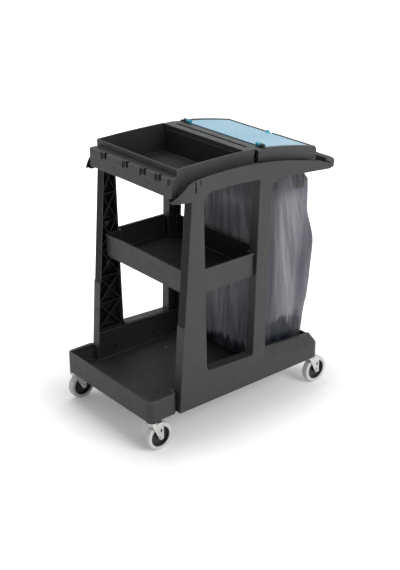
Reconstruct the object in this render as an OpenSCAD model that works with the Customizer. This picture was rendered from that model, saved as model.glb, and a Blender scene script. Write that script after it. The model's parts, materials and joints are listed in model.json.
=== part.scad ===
// Janitor cart: a moulded base tub on four swivel casters carries two A-shaped side panels.
// A middle shelf and an open top tray fill the front half, and a bag bay under a hinged lid
// fills the rear half. +X points to the push handle, -X to the open deck, and -Y is the near side.

/* [Overall] */
// Width over the two side panels
cart_w = 562; // [530:1:610]
// Length of the base tub
base_l = 854; // [830:1:900]
// Reach of the push handle behind the base tub
handle_overhang = 64; // [56:1:80]

/* [Base tub] */
// Height of the base tub, underside to rim
base_h = 84; // [70:1:100]
// Wall and floor thickness of the base tub
base_wall = 5; // [4:0.5:7]
// Height of the floor's underside above the tub's lower edge
floor_lift = 8; // [4:1:20]
// Width of the rim round the tub's top
rim_w = 12; // [8:1:13]
// Height of that rim
rim_h = 8; // [5:1:12]
// Plan radius of the front corners
base_corner_r = 25; // [20:1:40]
// Step from the side panel's face in to the tub's front walls
base_step = 12; // [8:1:18]

/* [Side panels] */
// Depth of a side panel, face to inner edge
panel_depth = 41; // [36:1:46]
// Thickness of the panel skin, flanges and ribs
panel_t = 4; // [3:0.5:5]
// Distance from the tub's front to the panel's lower front edge
panel_setback = 130; // [110:1:150]
// Distance from the tub's front to the column's front edge under the rail
column_top_setback = 189; // [180:1:195]
// Distance from the tub's front to the column's rear edge at the sill
column_rear_setback = 259; // [250:1:270]
// Distance that the column's rear edge leans forward up to the rail
column_lean = 17; // [10:1:24]
// Height of the small step in the column's front edge
column_step_z = 476; // [420:1:540]
// Depth of that step
column_step = 4; // [2:0.5:6]
// Distance from the tub's front to the middle post's front edge at the sill
post_setback = 487; // [475:1:500]
// Distance that the post leans backward up to the rail
post_lean = 17; // [10:1:24]
// Width of the middle post
post_w = 62; // [55:1:70]
// Rise of the sill's top above the tub's rim at the column
sill_front_rise = 50; // [44:1:60]
// Rise of the sill's top above the tub's rim at the post
sill_post_rise = 38; // [32:1:43]
// Rise of the sill's top above the tub's rim at the rear corner
sill_rear_rise = 14; // [10:1:20]
// Height of the slope along the sill's outer edge behind the post
sill_slope_h = 38; // [30:1:44]
// Width of that slope
sill_slope_w = 28; // [20:1:32]
// Number of crossed rib bays in each column
rib_bays = 6; // [4:1:8]

/* [Crescent rails] */
// Height of the rail's highest point
rail_apex_z = 1020; // [1010:1:1030]
// Distance from the tub's front to the highest point
rail_apex_setback = 362; // [340:1:380]
// Fall of the rail's top edge from its highest point to its tail
rail_fall = 78; // [70:1:84]
// Height of the rail at its tail
tail_h = 24; // [20:1:28]
// Distance from the tub's front to where the front hook starts to bend
hook_setback = 217; // [210:1:225]
// Bend radius of the front hook
hook_r = 80; // [70:1:95]
// Drop from the rail's highest point to the front hook's tip
hook_tip_drop = 75; // [68:1:79]
// Height of the front hook's tip
hook_tip_h = 6; // [4:1:10]
// Drop from the rail's highest point to its lower edge over the window
rail_low_drop = 62; // [58:1:68]
// Drop from the rail's highest point to its lower edge behind the post
rail_post_drop = 77; // [72:1:82]
// Depth of the gutter below the rail's top edge
gutter_d = 24; // [20:1:26]
// Depth of the gutter on the front hook
nose_gutter_d = 14; // [10:1:18]
// Height of the gutter's inner wall above its floor
gutter_wall_h = 14; // [10:1:18]

/* [Middle shelf] */
// Height of the shelf's underside
shelf_z = 577; // [540:1:610]
// Height of the shelf's walls
shelf_h = 92; // [70:1:120]
// Wall and floor thickness of the shelf
shelf_wall = 4; // [3:0.5:5]
// Distance from the tub's front to the shelf's front wall
shelf_setback = 188; // [180:1:200]
// Distance that the shelf reaches behind the post's lower front edge
shelf_lap = 50; // [40:1:54]
// Distance that the shelf's sides bulge into the windows
shelf_bulge = 26; // [15:1:28]
// Width of the lip round the shelf's top
shelf_lip = 6; // [3:0.5:8]

/* [Upper tray] */
// Distance from the tub's front to the tray's front wall
tray_setback = 160; // [155:1:170]
// Length of the tray's well
tray_l = 315; // [305:1:320]
// Drop from the rail's highest point to the tray's underside
tray_drop = 79; // [72:1:84]
// Rise of the tray's arched top edge above the rail's highest point
tray_rise = 36; // [32:1:40]
// Drop of the arched top edge at the tray's front
tray_arch = 5; // [2:0.5:8]
// Wall and floor thickness of the tray
tray_wall = 4; // [3:0.5:5]
// Reach of the hook fascia in front of the tray
fascia_reach = 30; // [26:1:32]
// Drop from the tray's top edge to the fascia's ledge
ledge_drop = 32; // [26:1:38]
// Height of the fascia
fascia_h = 72; // [64:1:78]
// Width of a hook notch
notch_w = 16; // [12:1:20]
// Depth of a hook notch
notch_d = 24; // [18:1:30]
// Reach of a hook notch into the ledge
notch_reach = 13; // [10:1:14]
// Diameter of the small hole behind each notch
hook_hole_d = 8; // [5:0.5:9]

/* [Lid and cover] */
// Gap between the pale frame strip and the lid
lid_gap = 5; // [4.5:0.5:8]
// Width of the pale frame strip
strip_w = 43; // [38:1:46]
// Drop from the tray's top edge to the strip's top
strip_drop = 2; // [1:0.5:5]
// Height of the strip
strip_h = 19; // [14:1:24]
// Width of the slot along the strip
strip_slot_w = 11; // [4:0.5:14]
// Distance from the slot's ends to the strip's ends
strip_slot_inset = 36; // [26:1:46]
// Distance from the tub's rear end in to the lid's rear edge
lid_rear_inset = 35; // [30:1:45]
// Overhang of the lid's sides past the tray's sides
lid_overhang = 12; // [11:0.5:14]
// Drop from the tray's top edge to the lid's front edge
lid_drop = 7; // [5:0.5:10]
// Fall of the lid's top from its front edge to its rear edge
lid_fall = 47; // [42:1:51]
// Rise of the lid's arch above a straight line
lid_arch = 5; // [3:0.5:7]
// Depth of the lid's skirt
lid_skirt = 42; // [39:1:43]
// Thickness of the lid's skin
lid_t = 3; // [2.5:0.5:3.5]
// Diameter of the lid's hinge pins
lid_pin_d = 6; // [5:0.5:7]
// Thickness of the document cover
cover_t = 2.5; // [2:0.5:4]
// Distance from the lid's front edge to the cover's hinge
cover_setback = 46; // [40:1:55]
// Distance from the cover's rear edge to the lid's rear edge
cover_rear_gap = 20; // [10:1:25]
// Distance from the cover's sides to the lid's sides
cover_side_gap = 22; // [18:1:30]
// Outer diameter of the cover's hinge knuckles
knuckle_d = 14; // [12:1:16]
// Diameter of the cover's hinge pins
cover_pin_d = 6; // [5:0.5:7]
// Length of a hinge knuckle
knuckle_l = 24; // [18:1:30]
// Length of a pin cap beside its knuckle
pin_cap_l = 14; // [10:1:16]
// Radius of the finger tab
tab_r = 13; // [10:1:16]
// Height of the domed grip on the finger tab
knob_h = 9; // [6:0.5:11]

/* [Bag bay] */
// Thickness of the bag frame
ring_t = 14; // [10:1:15]
// Width of the bag frame's bars
ring_bar = 22; // [18:1:26]
// Reach of the bag frame behind the lid
ring_rear = 12; // [8:1:16]
// Wall thickness of the bag's film solid
bag_t = 2; // [1.5:0.5:3]
// Depth of the bag's upright folds
fold_d = 7; // [3:0.5:9]
// Width of a bag clip
clip_w = 36; // [30:1:44]
// Length of a bag clip below the rail's lower edge
clip_drop = 71; // [60:1:80]

/* [Push handle] */
// Width of the handle bar
bar_w = 30; // [26:1:33]
// Height of the handle bar
bar_h = 28; // [24:1:30]
// Outer bend radius of the handle's corners
bar_bend_r = 55; // [50:1:60]
// Edge radius of the bar
bar_edge_r = 7; // [4:1:10]

/* [Casters] */
// Wheel diameter
wheel_d = 110; // [90:1:118]
// Tread width
tyre_w = 28; // [22:1:30]
// Radius of the tread's shoulders
shoulder_r = 6; // [4:0.5:8]
// Thickness of the tyre's rubber
tyre_t = 14; // [10:1:18]
// Distance from the swivel axis back to the axle
trail = 27; // [22:1:32]
// Distance from the tub's front and rear ends in to the swivel axes
caster_inset_x = 24; // [22:1:32]
// Distance from the tub's front walls in to the swivel axes
caster_inset_y = 19; // [18:1:30]
// Diameter of the caster's head plate
head_d = 42; // [36:1:46]
// Diameter of the mounting stem
stem_d = 11; // [9:0.5:12]
// Length of the mounting stem above the head plate
stem_l = 36; // [30:1:40]
// Diameter of the axle bolt
axle_d = 8; // [6:0.5:10]
// Thickness of the fork's sheet metal
fork_t = 2.5; // [2:0.5:3]
// Gap between the tyre and each fork leg
fork_gap = 2.5; // [2:0.5:4]

/* [Hidden] */
$fn = 64;
arc_n = 16;
bend_n = 6;
run_fit = 0.05;
seat_gap = 0.3;
eps = 1;

// Places along X, centred over the front wheels and the handle
wheel_over = max(0, wheel_d / 2 - trail - caster_inset_x);
x_front = (wheel_over - base_l - handle_overhang) / 2;
x_base_rear = x_front + base_l;
x_handle_rear = x_base_rear + handle_overhang;
x_panel = x_front + panel_setback;
x_column_top = x_front + column_top_setback;
x_column_rear = x_front + column_rear_setback;
x_post = x_front + post_setback;
x_post_rear = x_post + post_w;
x_tray = x_front + tray_setback;
x_tray_rear = x_tray + tray_l;
x_strip_rear = x_tray_rear + strip_w;
x_lid = x_strip_rear + lid_gap;
x_lid_rear = x_base_rear - lid_rear_inset;
lid_l = x_lid_rear - x_lid;
x_tail = x_handle_rear - bar_bend_r;
x_corner = x_base_rear - panel_depth;

// Places across Y, all measured from the middle plane
y_face = cart_w / 2;
y_skin = y_face - panel_t;
y_in = y_face - panel_depth;
y_tray = y_in - panel_t;
y_base = y_face - base_step;
y_lid = y_tray + lid_overhang;
y_cover = y_lid - cover_side_gap;

// Caster stack, floor to the tub's lower edge
wheel_r = wheel_d / 2;
crown_gap = 3;
crown_t = 4;
race_h = 2.4;
race_gap = 0.3;
head_t = 3;
flange_t = 5;
z_crown = wheel_d + crown_gap;
z_race = z_crown + crown_t;
z_head = z_race + race_h + 2 * race_gap;
z_flange = z_head + head_t;
z_base = z_flange + flange_t;
z_floor = z_base + floor_lift + base_wall;
z_rim = z_base + base_h;
socket_r = stem_d / 2 + 5.5;
socket_flange_r = head_d / 2 - 3;
socket_wall = 4;
king_r = stem_d / 2 + 0.5;
fork_in = tyre_w / 2 + fork_gap;
fork_out = fork_in + fork_t;
axle_boss_r = axle_d / 2 + 7;
core_r = wheel_r - tyre_t;
bush_r = axle_d / 2 + 2;
nut_h = 5;
sill_front_z = z_rim + sill_front_rise;
sill_post_z = z_rim + sill_post_rise;
sill_rear_z = z_rim + sill_rear_rise;
function caster_x(i) = i < 2 ? x_front + caster_inset_x : x_base_rear - caster_inset_x;
function caster_y(i) = (i % 2 == 0 ? -1 : 1) * (y_base - caster_inset_y);

// Screw sizes
screw_r = 2.4;
screw_head_r = 5;
screw_head_t = 3;
boss_r = 8;

// A round stretch of an outline, as points
function arc(c, r, a0, a1, n) = [for (k = [0 : n]) c + r * [for (f = [0, 1])
    f == 0 ? cos(a0 + (a1 - a0) * k / n) : sin(a0 + (a1 - a0) * k / n)]];
function lerp(a, b, t) = a + (b - a) * t;
function line_z(x, xa, za, xb, zb) = lerp(za, zb, (x - xa) / (xb - xa));

// Heights of the rail, the tray, the strip and the lid, all from the rail's highest point
rail_low_z = rail_apex_z - rail_low_drop;
rail_low_post_z = rail_apex_z - rail_post_drop;
rail_low_tail_z = rail_apex_z - rail_fall - tail_h;
hook_tip_z = rail_apex_z - hook_tip_drop;
hook_low_z = hook_tip_z - hook_tip_h;
tray_z = rail_apex_z - tray_drop;
tray_top_z = rail_apex_z + tray_rise;
fascia_top_z = tray_top_z - ledge_drop;
fascia_low_z = fascia_top_z - fascia_h;
strip_top_z = tray_top_z - strip_drop;
strip_low_z = strip_top_z - strip_h;
lid_front_z = tray_top_z - lid_drop;
lid_rear_z = lid_front_z - lid_fall;

// The rail's top edge: a long arc, a tighter hook and a straight nose, all set in by d
rail_reach = x_tail - x_front - rail_apex_setback;
rail_r = (pow(rail_reach, 2) + pow(rail_fall, 2)) / (2 * rail_fall);
rail_c = [x_front + rail_apex_setback, rail_apex_z - rail_r];
function rail_a(x, d = 0) = 90 - asin((x - rail_c[0]) / (rail_r - d));
function rail_z(x) = rail_c[1] + rail_r * sin(rail_a(x));
hook_a = rail_a(x_front + hook_setback);
hook_end_a = 133;
hook_c = rail_c + (rail_r - hook_r) * [cos(hook_a), sin(hook_a)];
hook_end = hook_c + hook_r * [cos(hook_end_a), sin(hook_end_a)];
nose_l = (hook_end[1] - hook_tip_z) / -cos(hook_end_a);
hook_tip = hook_end + nose_l * [-sin(hook_end_a), cos(hook_end_a)];
function rail_top(d, x_end) = concat(
    arc(rail_c, rail_r - d, rail_a(x_end, d), hook_a, arc_n),
    arc(hook_c, hook_r - d, hook_a, hook_end_a, bend_n),
    [hook_tip - d * [cos(hook_end_a), sin(hook_end_a)]]);

// Lower edges of the rail and the top of the sill
low_apex_in = 85;
low_apex_x = x_column_rear + low_apex_in;
low_r = 1850;
function rail_low(x) = rail_low_z - pow(x - low_apex_x, 2) / (2 * low_r);
function rail_low_rear(x) = line_z(x, x_post_rear, rail_low_post_z, x_tail, rail_low_tail_z);
function sill_z(x) = x < x_post_rear
    ? line_z(x, x_column_rear, sill_front_z, x_post_rear, sill_post_z)
    : line_z(x, x_post_rear, sill_post_z, x_corner, sill_rear_z);
function column_front(z) = line_z(z, z_base, x_panel, hook_low_z, x_column_top);
function column_rear(z) = line_z(z, sill_front_z, x_column_rear, rail_low_z, x_column_rear - column_lean);
function post_front(z) = line_z(z, sill_post_z, x_post, rail_low_z, x_post + post_lean);
function post_rear(z) = post_front(z) + post_w;
gutter_screw_rise = 6;
function gutter_screw_z(x) = rail_z(x) - gutter_d + gutter_screw_rise;

// The lid's arched top and straight skirt edge
function lid_top(x) = line_z(x, x_lid, lid_front_z, x_lid_rear, lid_rear_z)
    + 4 * lid_arch * (x - x_lid) * (x_lid_rear - x) / pow(lid_l, 2);
function lid_low(x) = line_z(x, x_lid, lid_front_z, x_lid_rear, lid_rear_z) - lid_skirt;
function spread(xa, xb, n) = [for (k = [0 : n]) lerp(xa, xb, k / n)];
lid_pin_in = 10;
lid_pin_drop = 11;
lid_pivot = [x_lid + lid_pin_in, lid_front_z - lid_pin_drop];
lid_nose_r = 6;
lid_side_t = 4;

// The cover's hinge axis on the lid
cover_lift = 0.5;
x_cover = x_lid + cover_setback;
x_cover_rear = x_lid_rear - cover_rear_gap;
cover_axis = [x_cover, lid_top(x_cover) + cover_lift + knuckle_d / 2];

// The bag frame follows the lid's skirt edge
ring_drop = 6;
x_ring_rear = x_lid_rear + ring_rear;
mouth_in = 30;
x_mouth = x_lid + mouth_in;
x_mouth_rear = x_lid_rear - ring_rear;
y_mouth = y_tray - ring_bar;
function ring_top(x) = lid_low(x) - ring_drop;
ring_tilt = (lid_rear_z - lid_front_z) / lid_l;

// Hook notches along the fascia, unevenly spaced
notch_y = [141, 10, -93, -178];
hole_back = 24;

// Shared shapes

// An outline drawn in X and Z, given thickness across Y
module slab(y0, y1) translate([0, y1, 0]) rotate([90, 0, 0]) linear_extrude(y1 - y0) children();

// A round bar along Y
module bar_y(x, z, r, y0, y1) translate([x, y1, z]) rotate([90, 0, 0]) cylinder(r = r, h = y1 - y0);

// A box between two corners
module block(a, b) translate(a) cube(b - a);

// A rectangle in plan with round corners
module round_plan(x0, x1, y0, y1, r) {
    translate([x0 + r, y0]) square([x1 - x0 - 2 * r, y1 - y0]);
    translate([x0, y0 + r]) square([x1 - x0, y1 - y0 - 2 * r]);
    for (x = [x0 + r, x1 - r], y = [y0 + r, y1 - r]) translate([x, y]) circle(r);
}

module both_sides() {
    children();
    mirror([0, 1, 0]) children();
}

// Base tub

// Tub outline in plan: wide round-cornered deck in front, narrower between the side panels
module base_plan(d) {
    round_plan(x_front + d, x_panel - d, -y_base + d, y_base - d, base_corner_r - d);
    translate([x_front + base_corner_r, -y_in + d])
        square([base_l - base_corner_r - d, 2 * (y_in - d)]);
}

panel_screw_in = [50, 82, 48, 30];
panel_screw_x = [x_column_rear - panel_screw_in[0], x_post - panel_screw_in[1],
    x_post_rear + panel_screw_in[2], x_corner - panel_screw_in[3]];
panel_screw_drop = 30;
panel_screw_z = z_rim - panel_screw_drop;
drain_setback = 409;
drain_y = 157;
drain_r = 4;
wall_drop = 2;
z_sill_end = sill_rear_z - 0.3;

// Tub walls between the side panels, up to just under the sills' tops
module raised_wall() slab(y_in - base_wall, y_in) polygon([
    [x_panel + base_wall, z_rim - rim_h], [x_roll, z_rim - rim_h], [x_roll, sill_rear_z - wall_drop],
    [x_post_rear, sill_post_z - wall_drop], [x_column_rear, sill_front_z - wall_drop],
    [x_panel + base_wall, sill_front_z - wall_drop]]);

// Rolled rear edge, sloping outward like the sills beside it
roll_w = 20;
x_roll = x_base_rear - roll_w;
function roll_z(x) = line_z(x, x_base_rear - sill_slope_w, z_sill_end,
    x_base_rear, z_sill_end - sill_slope_h);
module rear_roll() slab(-y_in, y_in) polygon([
    [x_base_rear, roll_z(x_base_rear) - rim_h], [x_base_rear, roll_z(x_base_rear)], [x_roll, roll_z(x_roll)],
    [x_roll, z_rim - rim_h], [x_roll + base_wall, z_rim - rim_h],
    [x_roll + base_wall, roll_z(x_roll + base_wall) - base_wall],
    [x_base_rear - base_wall, roll_z(x_base_rear - base_wall) - base_wall],
    [x_base_rear - base_wall, roll_z(x_base_rear) - rim_h]]);
module over_roll() slab(-y_in - eps, y_in + eps) polygon([
    [x_roll - roll_w, roll_z(x_roll - roll_w)], [x_base_rear + roll_w, roll_z(x_base_rear + roll_w)],
    [x_base_rear + roll_w, 2 * z_sill_end], [x_roll - roll_w, 2 * z_sill_end]]);

module base_tray() color([0.19, 0.2, 0.2]) difference() {
    union() {
        difference() {
            translate([0, 0, z_base]) linear_extrude(base_h) base_plan(0);
            translate([0, 0, z_floor]) linear_extrude(base_h) base_plan(base_wall);
            translate([0, 0, z_base - eps]) linear_extrude(floor_lift + eps) base_plan(base_wall);
        }
        translate([0, 0, z_rim - rim_h]) linear_extrude(rim_h) difference() {
            base_plan(0);
            base_plan(rim_w);
            translate([x_panel, -y_in - eps]) square([base_l, 2 * (y_in + eps)]);
        }
        both_sides() raised_wall();
        rear_roll();
        for (i = [0 : 3]) translate([caster_x(i), caster_y(i), z_base])
            cylinder(r = socket_r + socket_wall, h = stem_l);
    }
    over_roll();
    for (i = [0 : 3]) translate([caster_x(i), caster_y(i), z_base - eps])
        cylinder(r = socket_r + run_fit, h = stem_l + 2 * eps);
    both_sides() for (x = panel_screw_x)
        bar_y(x, panel_screw_z, screw_r + run_fit, y_in - 2 * base_wall, y_in + eps);
    translate([x_front + drain_setback, drain_y, z_base]) cylinder(r = drain_r, h = base_h / 2);
}

// Side panels, drawn on the far side

window_r = 40;
window_low_r = 20;

// Panel face without its openings, all edges set in by d
module panel_outline(d) polygon(concat(
    [[x_panel + d, z_base + d], [x_corner, z_base + d], [x_corner, sill_rear_z + eps],
     [x_tail, rail_low_tail_z]],
    rail_top(d, x_tail),
    [[hook_tip[0] + 3 + d, hook_low_z + d], [x_column_top + d, hook_low_z + d],
     [column_front(column_step_z) + d, column_step_z],
     [column_front(column_step_z) - column_step + d, column_step_z - 2 * column_step]]));

// Window between column and post, all edges set out by d
x_window = column_rear(rail_low_z - window_r) + window_r;
x_window_rear = post_front(rail_low_z);
window_a = 95;
module panel_window(d) polygon(concat(
    arc([x_column_rear + window_low_r, sill_z(x_column_rear + window_low_r) + window_low_r],
        window_low_r + d, 180, 270, bend_n),
    [[x_post + d, sill_z(x_post) - d]],
    [for (x = spread(x_window_rear + d, x_window, bend_n)) [x, rail_low(x) + d]],
    arc([x_window, rail_low(x_window) - window_r], window_r + d, window_a, 180, bend_n)));

// Open side of the bag bay, behind the post, down to where the sill's sloped edge starts
bay_drop = sill_slope_h - 1;
module bay_opening(d) polygon([
    [x_post_rear - d, sill_z(x_post_rear) - bay_drop - d], [x_corner, sill_rear_z - bay_drop - d],
    [x_handle_rear, sill_rear_z - bay_drop - d], [x_handle_rear, rail_low_tail_z + d],
    [x_tail, rail_low_rear(x_tail) + d],
    [post_rear(rail_low_post_z) - d, rail_low_rear(post_rear(rail_low_post_z)) + d]]);

module panel_face(d) difference() {
    panel_outline(d);
    panel_window(d);
    bay_opening(d);
}

// Everything under the gutter's floor
module under_gutter() polygon(concat(
    rail_top(gutter_d, x_tail),
    [[x_front - eps, hook_tip_z - gutter_d], [x_front - eps, 0], [x_handle_rear, 0]]));

// A strip that follows the rail's top edge, from depth d0 to depth d1, between two places along X
function strip_edge(x) = line_z(x, hook_tip[0], hook_low_z, x_tail, rail_low_tail_z);
module rail_strip(d0, d1, xa, xb, x_end = x_tail) intersection() {
    difference() {
        polygon(concat(rail_top(d0, x_end), [[hook_tip[0] - eps, 0], [x_end, 0]]));
        polygon(concat(rail_top(d1, x_end + eps), [[hook_tip[0] - 2 * eps, 0], [x_end + eps, 0]]));
    }
    polygon([[xa, strip_edge(xa)], [xb, strip_edge(xb)], [xb, 2 * rail_apex_z], [xa, 2 * rail_apex_z]]);
}

// Length of the tail where the handle's leg closes the gutter
tail_open = 22;

// Nose of the rail's front hook, under its shallower gutter
nose_lap = 6;
x_nose_rear = x_column_top + nose_lap;
module hook_nose() intersection() {
    panel_outline(0);
    polygon(concat(rail_top(nose_gutter_d, x_post), [[hook_tip[0], 0], [x_post, 0]]));
    translate([x_front, hook_low_z]) square([x_nose_rear - x_front, rail_apex_z]);
}

// Plan of the nose, curving inward to its tip, all edges set in by d
nose_reach = x_nose_rear - hook_tip[0] + 4;
module nose_plan(d) polygon(concat([[x_nose_rear, y_in - eps]],
    [for (a = spread(90, 180, arc_n))
        [x_nose_rear + (nose_reach - d) * cos(a), y_in + (panel_depth - d) * sin(a)]],
    [[x_nose_rear - nose_reach + d, y_in - eps]]));

// Curved outer wall of the nose
module nose_skin() intersection() {
    slab(y_in, y_face) intersection() {
        panel_outline(0);
        translate([x_front, hook_low_z]) square([x_nose_rear - x_front, rail_apex_z]);
    }
    linear_extrude(2 * rail_apex_z) difference() {
        nose_plan(0);
        nose_plan(panel_t);
    }
}

// What the inward curve takes off the nose
module beside_nose() translate([0, 0, hook_low_z - eps]) linear_extrude(rail_apex_z) difference() {
    translate([x_front, y_in - 2 * eps]) square([x_nose_rear - x_front, 2 * panel_depth]);
    nose_plan(0);
}

// A straight rib between two points
module rib(p, q) {
    v = (q - p) / norm(q - p);
    n = panel_t / 2 * [-v[1], v[0]];
    polygon([p + n, p - n, q - n, q + n]);
}

rib_z0 = sill_front_z;
rib_z1 = hook_low_z;
module column_ribs() intersection() {
    panel_face(panel_t / 2);
    union() for (k = [0 : rib_bays - 1]) {
        za = lerp(rib_z0, rib_z1, k / rib_bays);
        zb = lerp(rib_z0, rib_z1, (k + 1) / rib_bays);
        rib([column_front(za), za], [column_rear(zb), zb]);
        rib([column_rear(za), za], [column_front(zb), zb]);
        rib([column_front(za) - column_step, za], [column_rear(za), za]);
    }
}

shelf_screw_z = shelf_z + shelf_h / 2;
shelf_screw_in = [25, 14];
shelf_screw_x = [column_rear(shelf_screw_z) - shelf_screw_in[0],
    post_front(shelf_screw_z) + shelf_screw_in[1]];
column_socket_in = 12;
column_socket_x = (column_front(shelf_screw_z) + column_rear(shelf_screw_z)) / 2 - column_socket_in;
column_socket_gap = [30, 40];
column_socket_z = [shelf_z - column_socket_gap[0], shelf_z + shelf_h + column_socket_gap[1]];
tray_screw_in = [192, 44];
tray_screw_x = [x_tray + tray_screw_in[0], x_tray_rear - tray_screw_in[1]];
frame_grip = 12;
frame_screw_in = [55, 45];
frame_screw_x = [x_lid + frame_screw_in[0], x_lid_rear - frame_screw_in[1]];
slit_w = 5;
slit_in = [16, 37];
slit_x = [for (d = slit_in) x_column_top + d];
slit_low = [46, 24];
slit_high = 5;
tab_slot_w = 18;
tab_slot_h = 30;
tab_slot_low = 19;
tab_edge = 3;
tab_w = 28;
tab_h = 66;
rib_recess = 11;
rib_depth = panel_depth - rib_recess;

// Slotted tab on the post's rear edge
x_tab = post_rear(rail_low_post_z);
module post_tab() difference() {
    translate([x_tab - panel_t, rail_low_post_z - tab_h]) square([tab_w + panel_t, tab_h + panel_t]);
    translate([x_tab + tab_edge, rail_low_post_z - tab_h + tab_slot_low]) square([tab_slot_w, tab_slot_h]);
}

// Round rear end of the sill: a hollow quarter turn of the sloped section, a hair lower than the sill
sill_eye_r = 1.5;
module sill_end() translate([x_corner, y_in, 0]) rotate_extrude(angle = 90) difference() {
    polygon([[sill_eye_r, z_base], [panel_depth, z_base], [panel_depth, z_sill_end - sill_slope_h],
        [panel_depth - sill_slope_w, z_sill_end], [sill_eye_r, z_sill_end]]);
    polygon([[0, z_base - eps], [panel_depth - panel_t, z_base - eps],
        [panel_depth - panel_t, z_sill_end - sill_slope_h - panel_t],
        [panel_depth - sill_slope_w - panel_t, z_sill_end - panel_t], [0, z_sill_end - panel_t]]);
}

// Sill behind the post: a sloped section across Y, run along the sill's falling top
sill_fall_a = atan2(sill_post_z - sill_rear_z, x_corner - x_post_rear);
sill_run = norm([x_corner - x_post_rear, sill_post_z - sill_rear_z]);
sill_lap = 7;
sill_ledge = 1;
module sill_section(c) polygon([
    [y_face - sill_ledge, -(sill_slope_h + sill_lap) * c], [y_face - sill_ledge, -sill_slope_h * c],
    [y_face - sill_slope_w, 0], [y_in + sill_ledge, 0], [y_in + sill_ledge, -panel_t * c],
    [y_face - sill_slope_w - panel_t, -panel_t * c], [y_skin - sill_ledge, -(sill_slope_h + sill_lap) * c]]);

module sloped_sill() intersection() {
    translate([x_post_rear, 0, sill_post_z]) rotate([0, sill_fall_a, 0]) translate([-panel_t, 0, 0])
        rotate([90, 0, 90]) linear_extrude(sill_run + 2 * panel_t) sill_section(cos(sill_fall_a));
    block([x_post_rear - panel_t / 2, y_in, z_base], [x_corner, y_face, rail_apex_z]);
}

// Where every boss of the panel stands, as X and Z
panel_bosses = concat(
    [for (x = panel_screw_x) [x, panel_screw_z]],
    [for (x = shelf_screw_x) [x, shelf_screw_z]],
    [for (z = column_socket_z) [column_socket_x, z]]);

module side_panel() difference() {
    union() {
        slab(y_skin, y_face) {
            panel_face(0);
            post_tab();
        }
        slab(y_in, y_skin) intersection() {
            difference() {
                panel_face(0);
                panel_face(panel_t);
            }
            under_gutter();
        }
        sloped_sill();
        slab(y_skin - rib_depth, y_skin) column_ribs();
        slab(y_in, y_skin) {
            rail_strip(gutter_d, gutter_d + panel_t, x_nose_rear - eps, x_tail - tail_open);
            hook_nose();
        }
        slab(y_tray, y_in)
            rail_strip(gutter_d - gutter_wall_h, gutter_d + panel_t, x_tray + eps, x_tail - tail_open);
        for (p = panel_bosses) bar_y(p[0], p[1], boss_r, y_in, y_skin);
        sill_end();
        nose_skin();
    }
    beside_nose();
    for (p = panel_bosses) bar_y(p[0], p[1], screw_r + run_fit, y_in - eps, y_skin - panel_t);
    for (x = tray_screw_x) bar_y(x, gutter_screw_z(x), screw_r + run_fit, y_tray - eps, y_in + eps);
    for (x = frame_screw_x) bar_y(x, frame_screw_z(x), screw_r + run_fit, y_tray - eps, y_in + eps);
    for (k = [0, 1]) block([slit_x[k], y_skin - eps, rail_z(slit_x[k]) - slit_low[k]],
        [slit_x[k] + slit_w, y_face + eps, rail_z(slit_x[k]) - slit_high]);
    handle_screw_hole();
}

module side_panel_near() color([0.2, 0.21, 0.21]) mirror([0, 1, 0]) side_panel();
module side_panel_far() color([0.2, 0.21, 0.21]) side_panel();

// Middle shelf

x_shelf = x_front + shelf_setback;
x_shelf_rear = x_post + shelf_lap;
shelf_clear = 3;
x_bulge = column_rear(shelf_z) + shelf_clear;
x_bulge_rear = post_front(shelf_z) - shelf_clear;

// Shelf outline in plan: full length between the panels, bulging into the windows
module shelf_plan(d, lip) {
    translate([x_shelf + d - lip, -y_in + d]) square([x_shelf_rear - x_shelf - 2 * d + lip, 2 * (y_in - d)]);
    translate([x_bulge + d, -y_in - shelf_bulge + d - lip])
        square([x_bulge_rear - x_bulge - 2 * d, 2 * (y_in + shelf_bulge - d + lip)]);
}

module middle_shelf() color([0.18, 0.19, 0.19]) difference() {
    union() {
        translate([0, 0, shelf_z]) linear_extrude(shelf_h) shelf_plan(0, 0);
        translate([0, 0, shelf_z + shelf_h - shelf_lip]) linear_extrude(shelf_lip) shelf_plan(0, shelf_lip);
    }
    translate([0, 0, shelf_z + shelf_wall]) linear_extrude(shelf_h) shelf_plan(shelf_wall, 0);
    both_sides() for (x = shelf_screw_x)
        bar_y(x, shelf_screw_z, screw_r + run_fit, y_in - 2 * shelf_wall, y_in + eps);
}

// Upper tray

tray_apex_x = x_tray + 0.75 * tray_l;
tray_arch_r = pow(tray_apex_x - x_tray, 2) / (2 * tray_arch);
function tray_edge(x) = tray_top_z - pow(x - tray_apex_x, 2) / (2 * tray_arch_r);
x_fascia = x_tray - fascia_reach;

module tray_side() polygon(concat(
    [[x_tray, tray_z], [x_tray_rear, tray_z]], [[x_tray_rear, strip_low_z]],
    [[x_tray_rear - tray_wall, strip_low_z]],
    [for (x = spread(x_tray_rear - tray_wall, x_tray, arc_n)) [x, tray_edge(x)]]));

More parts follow.
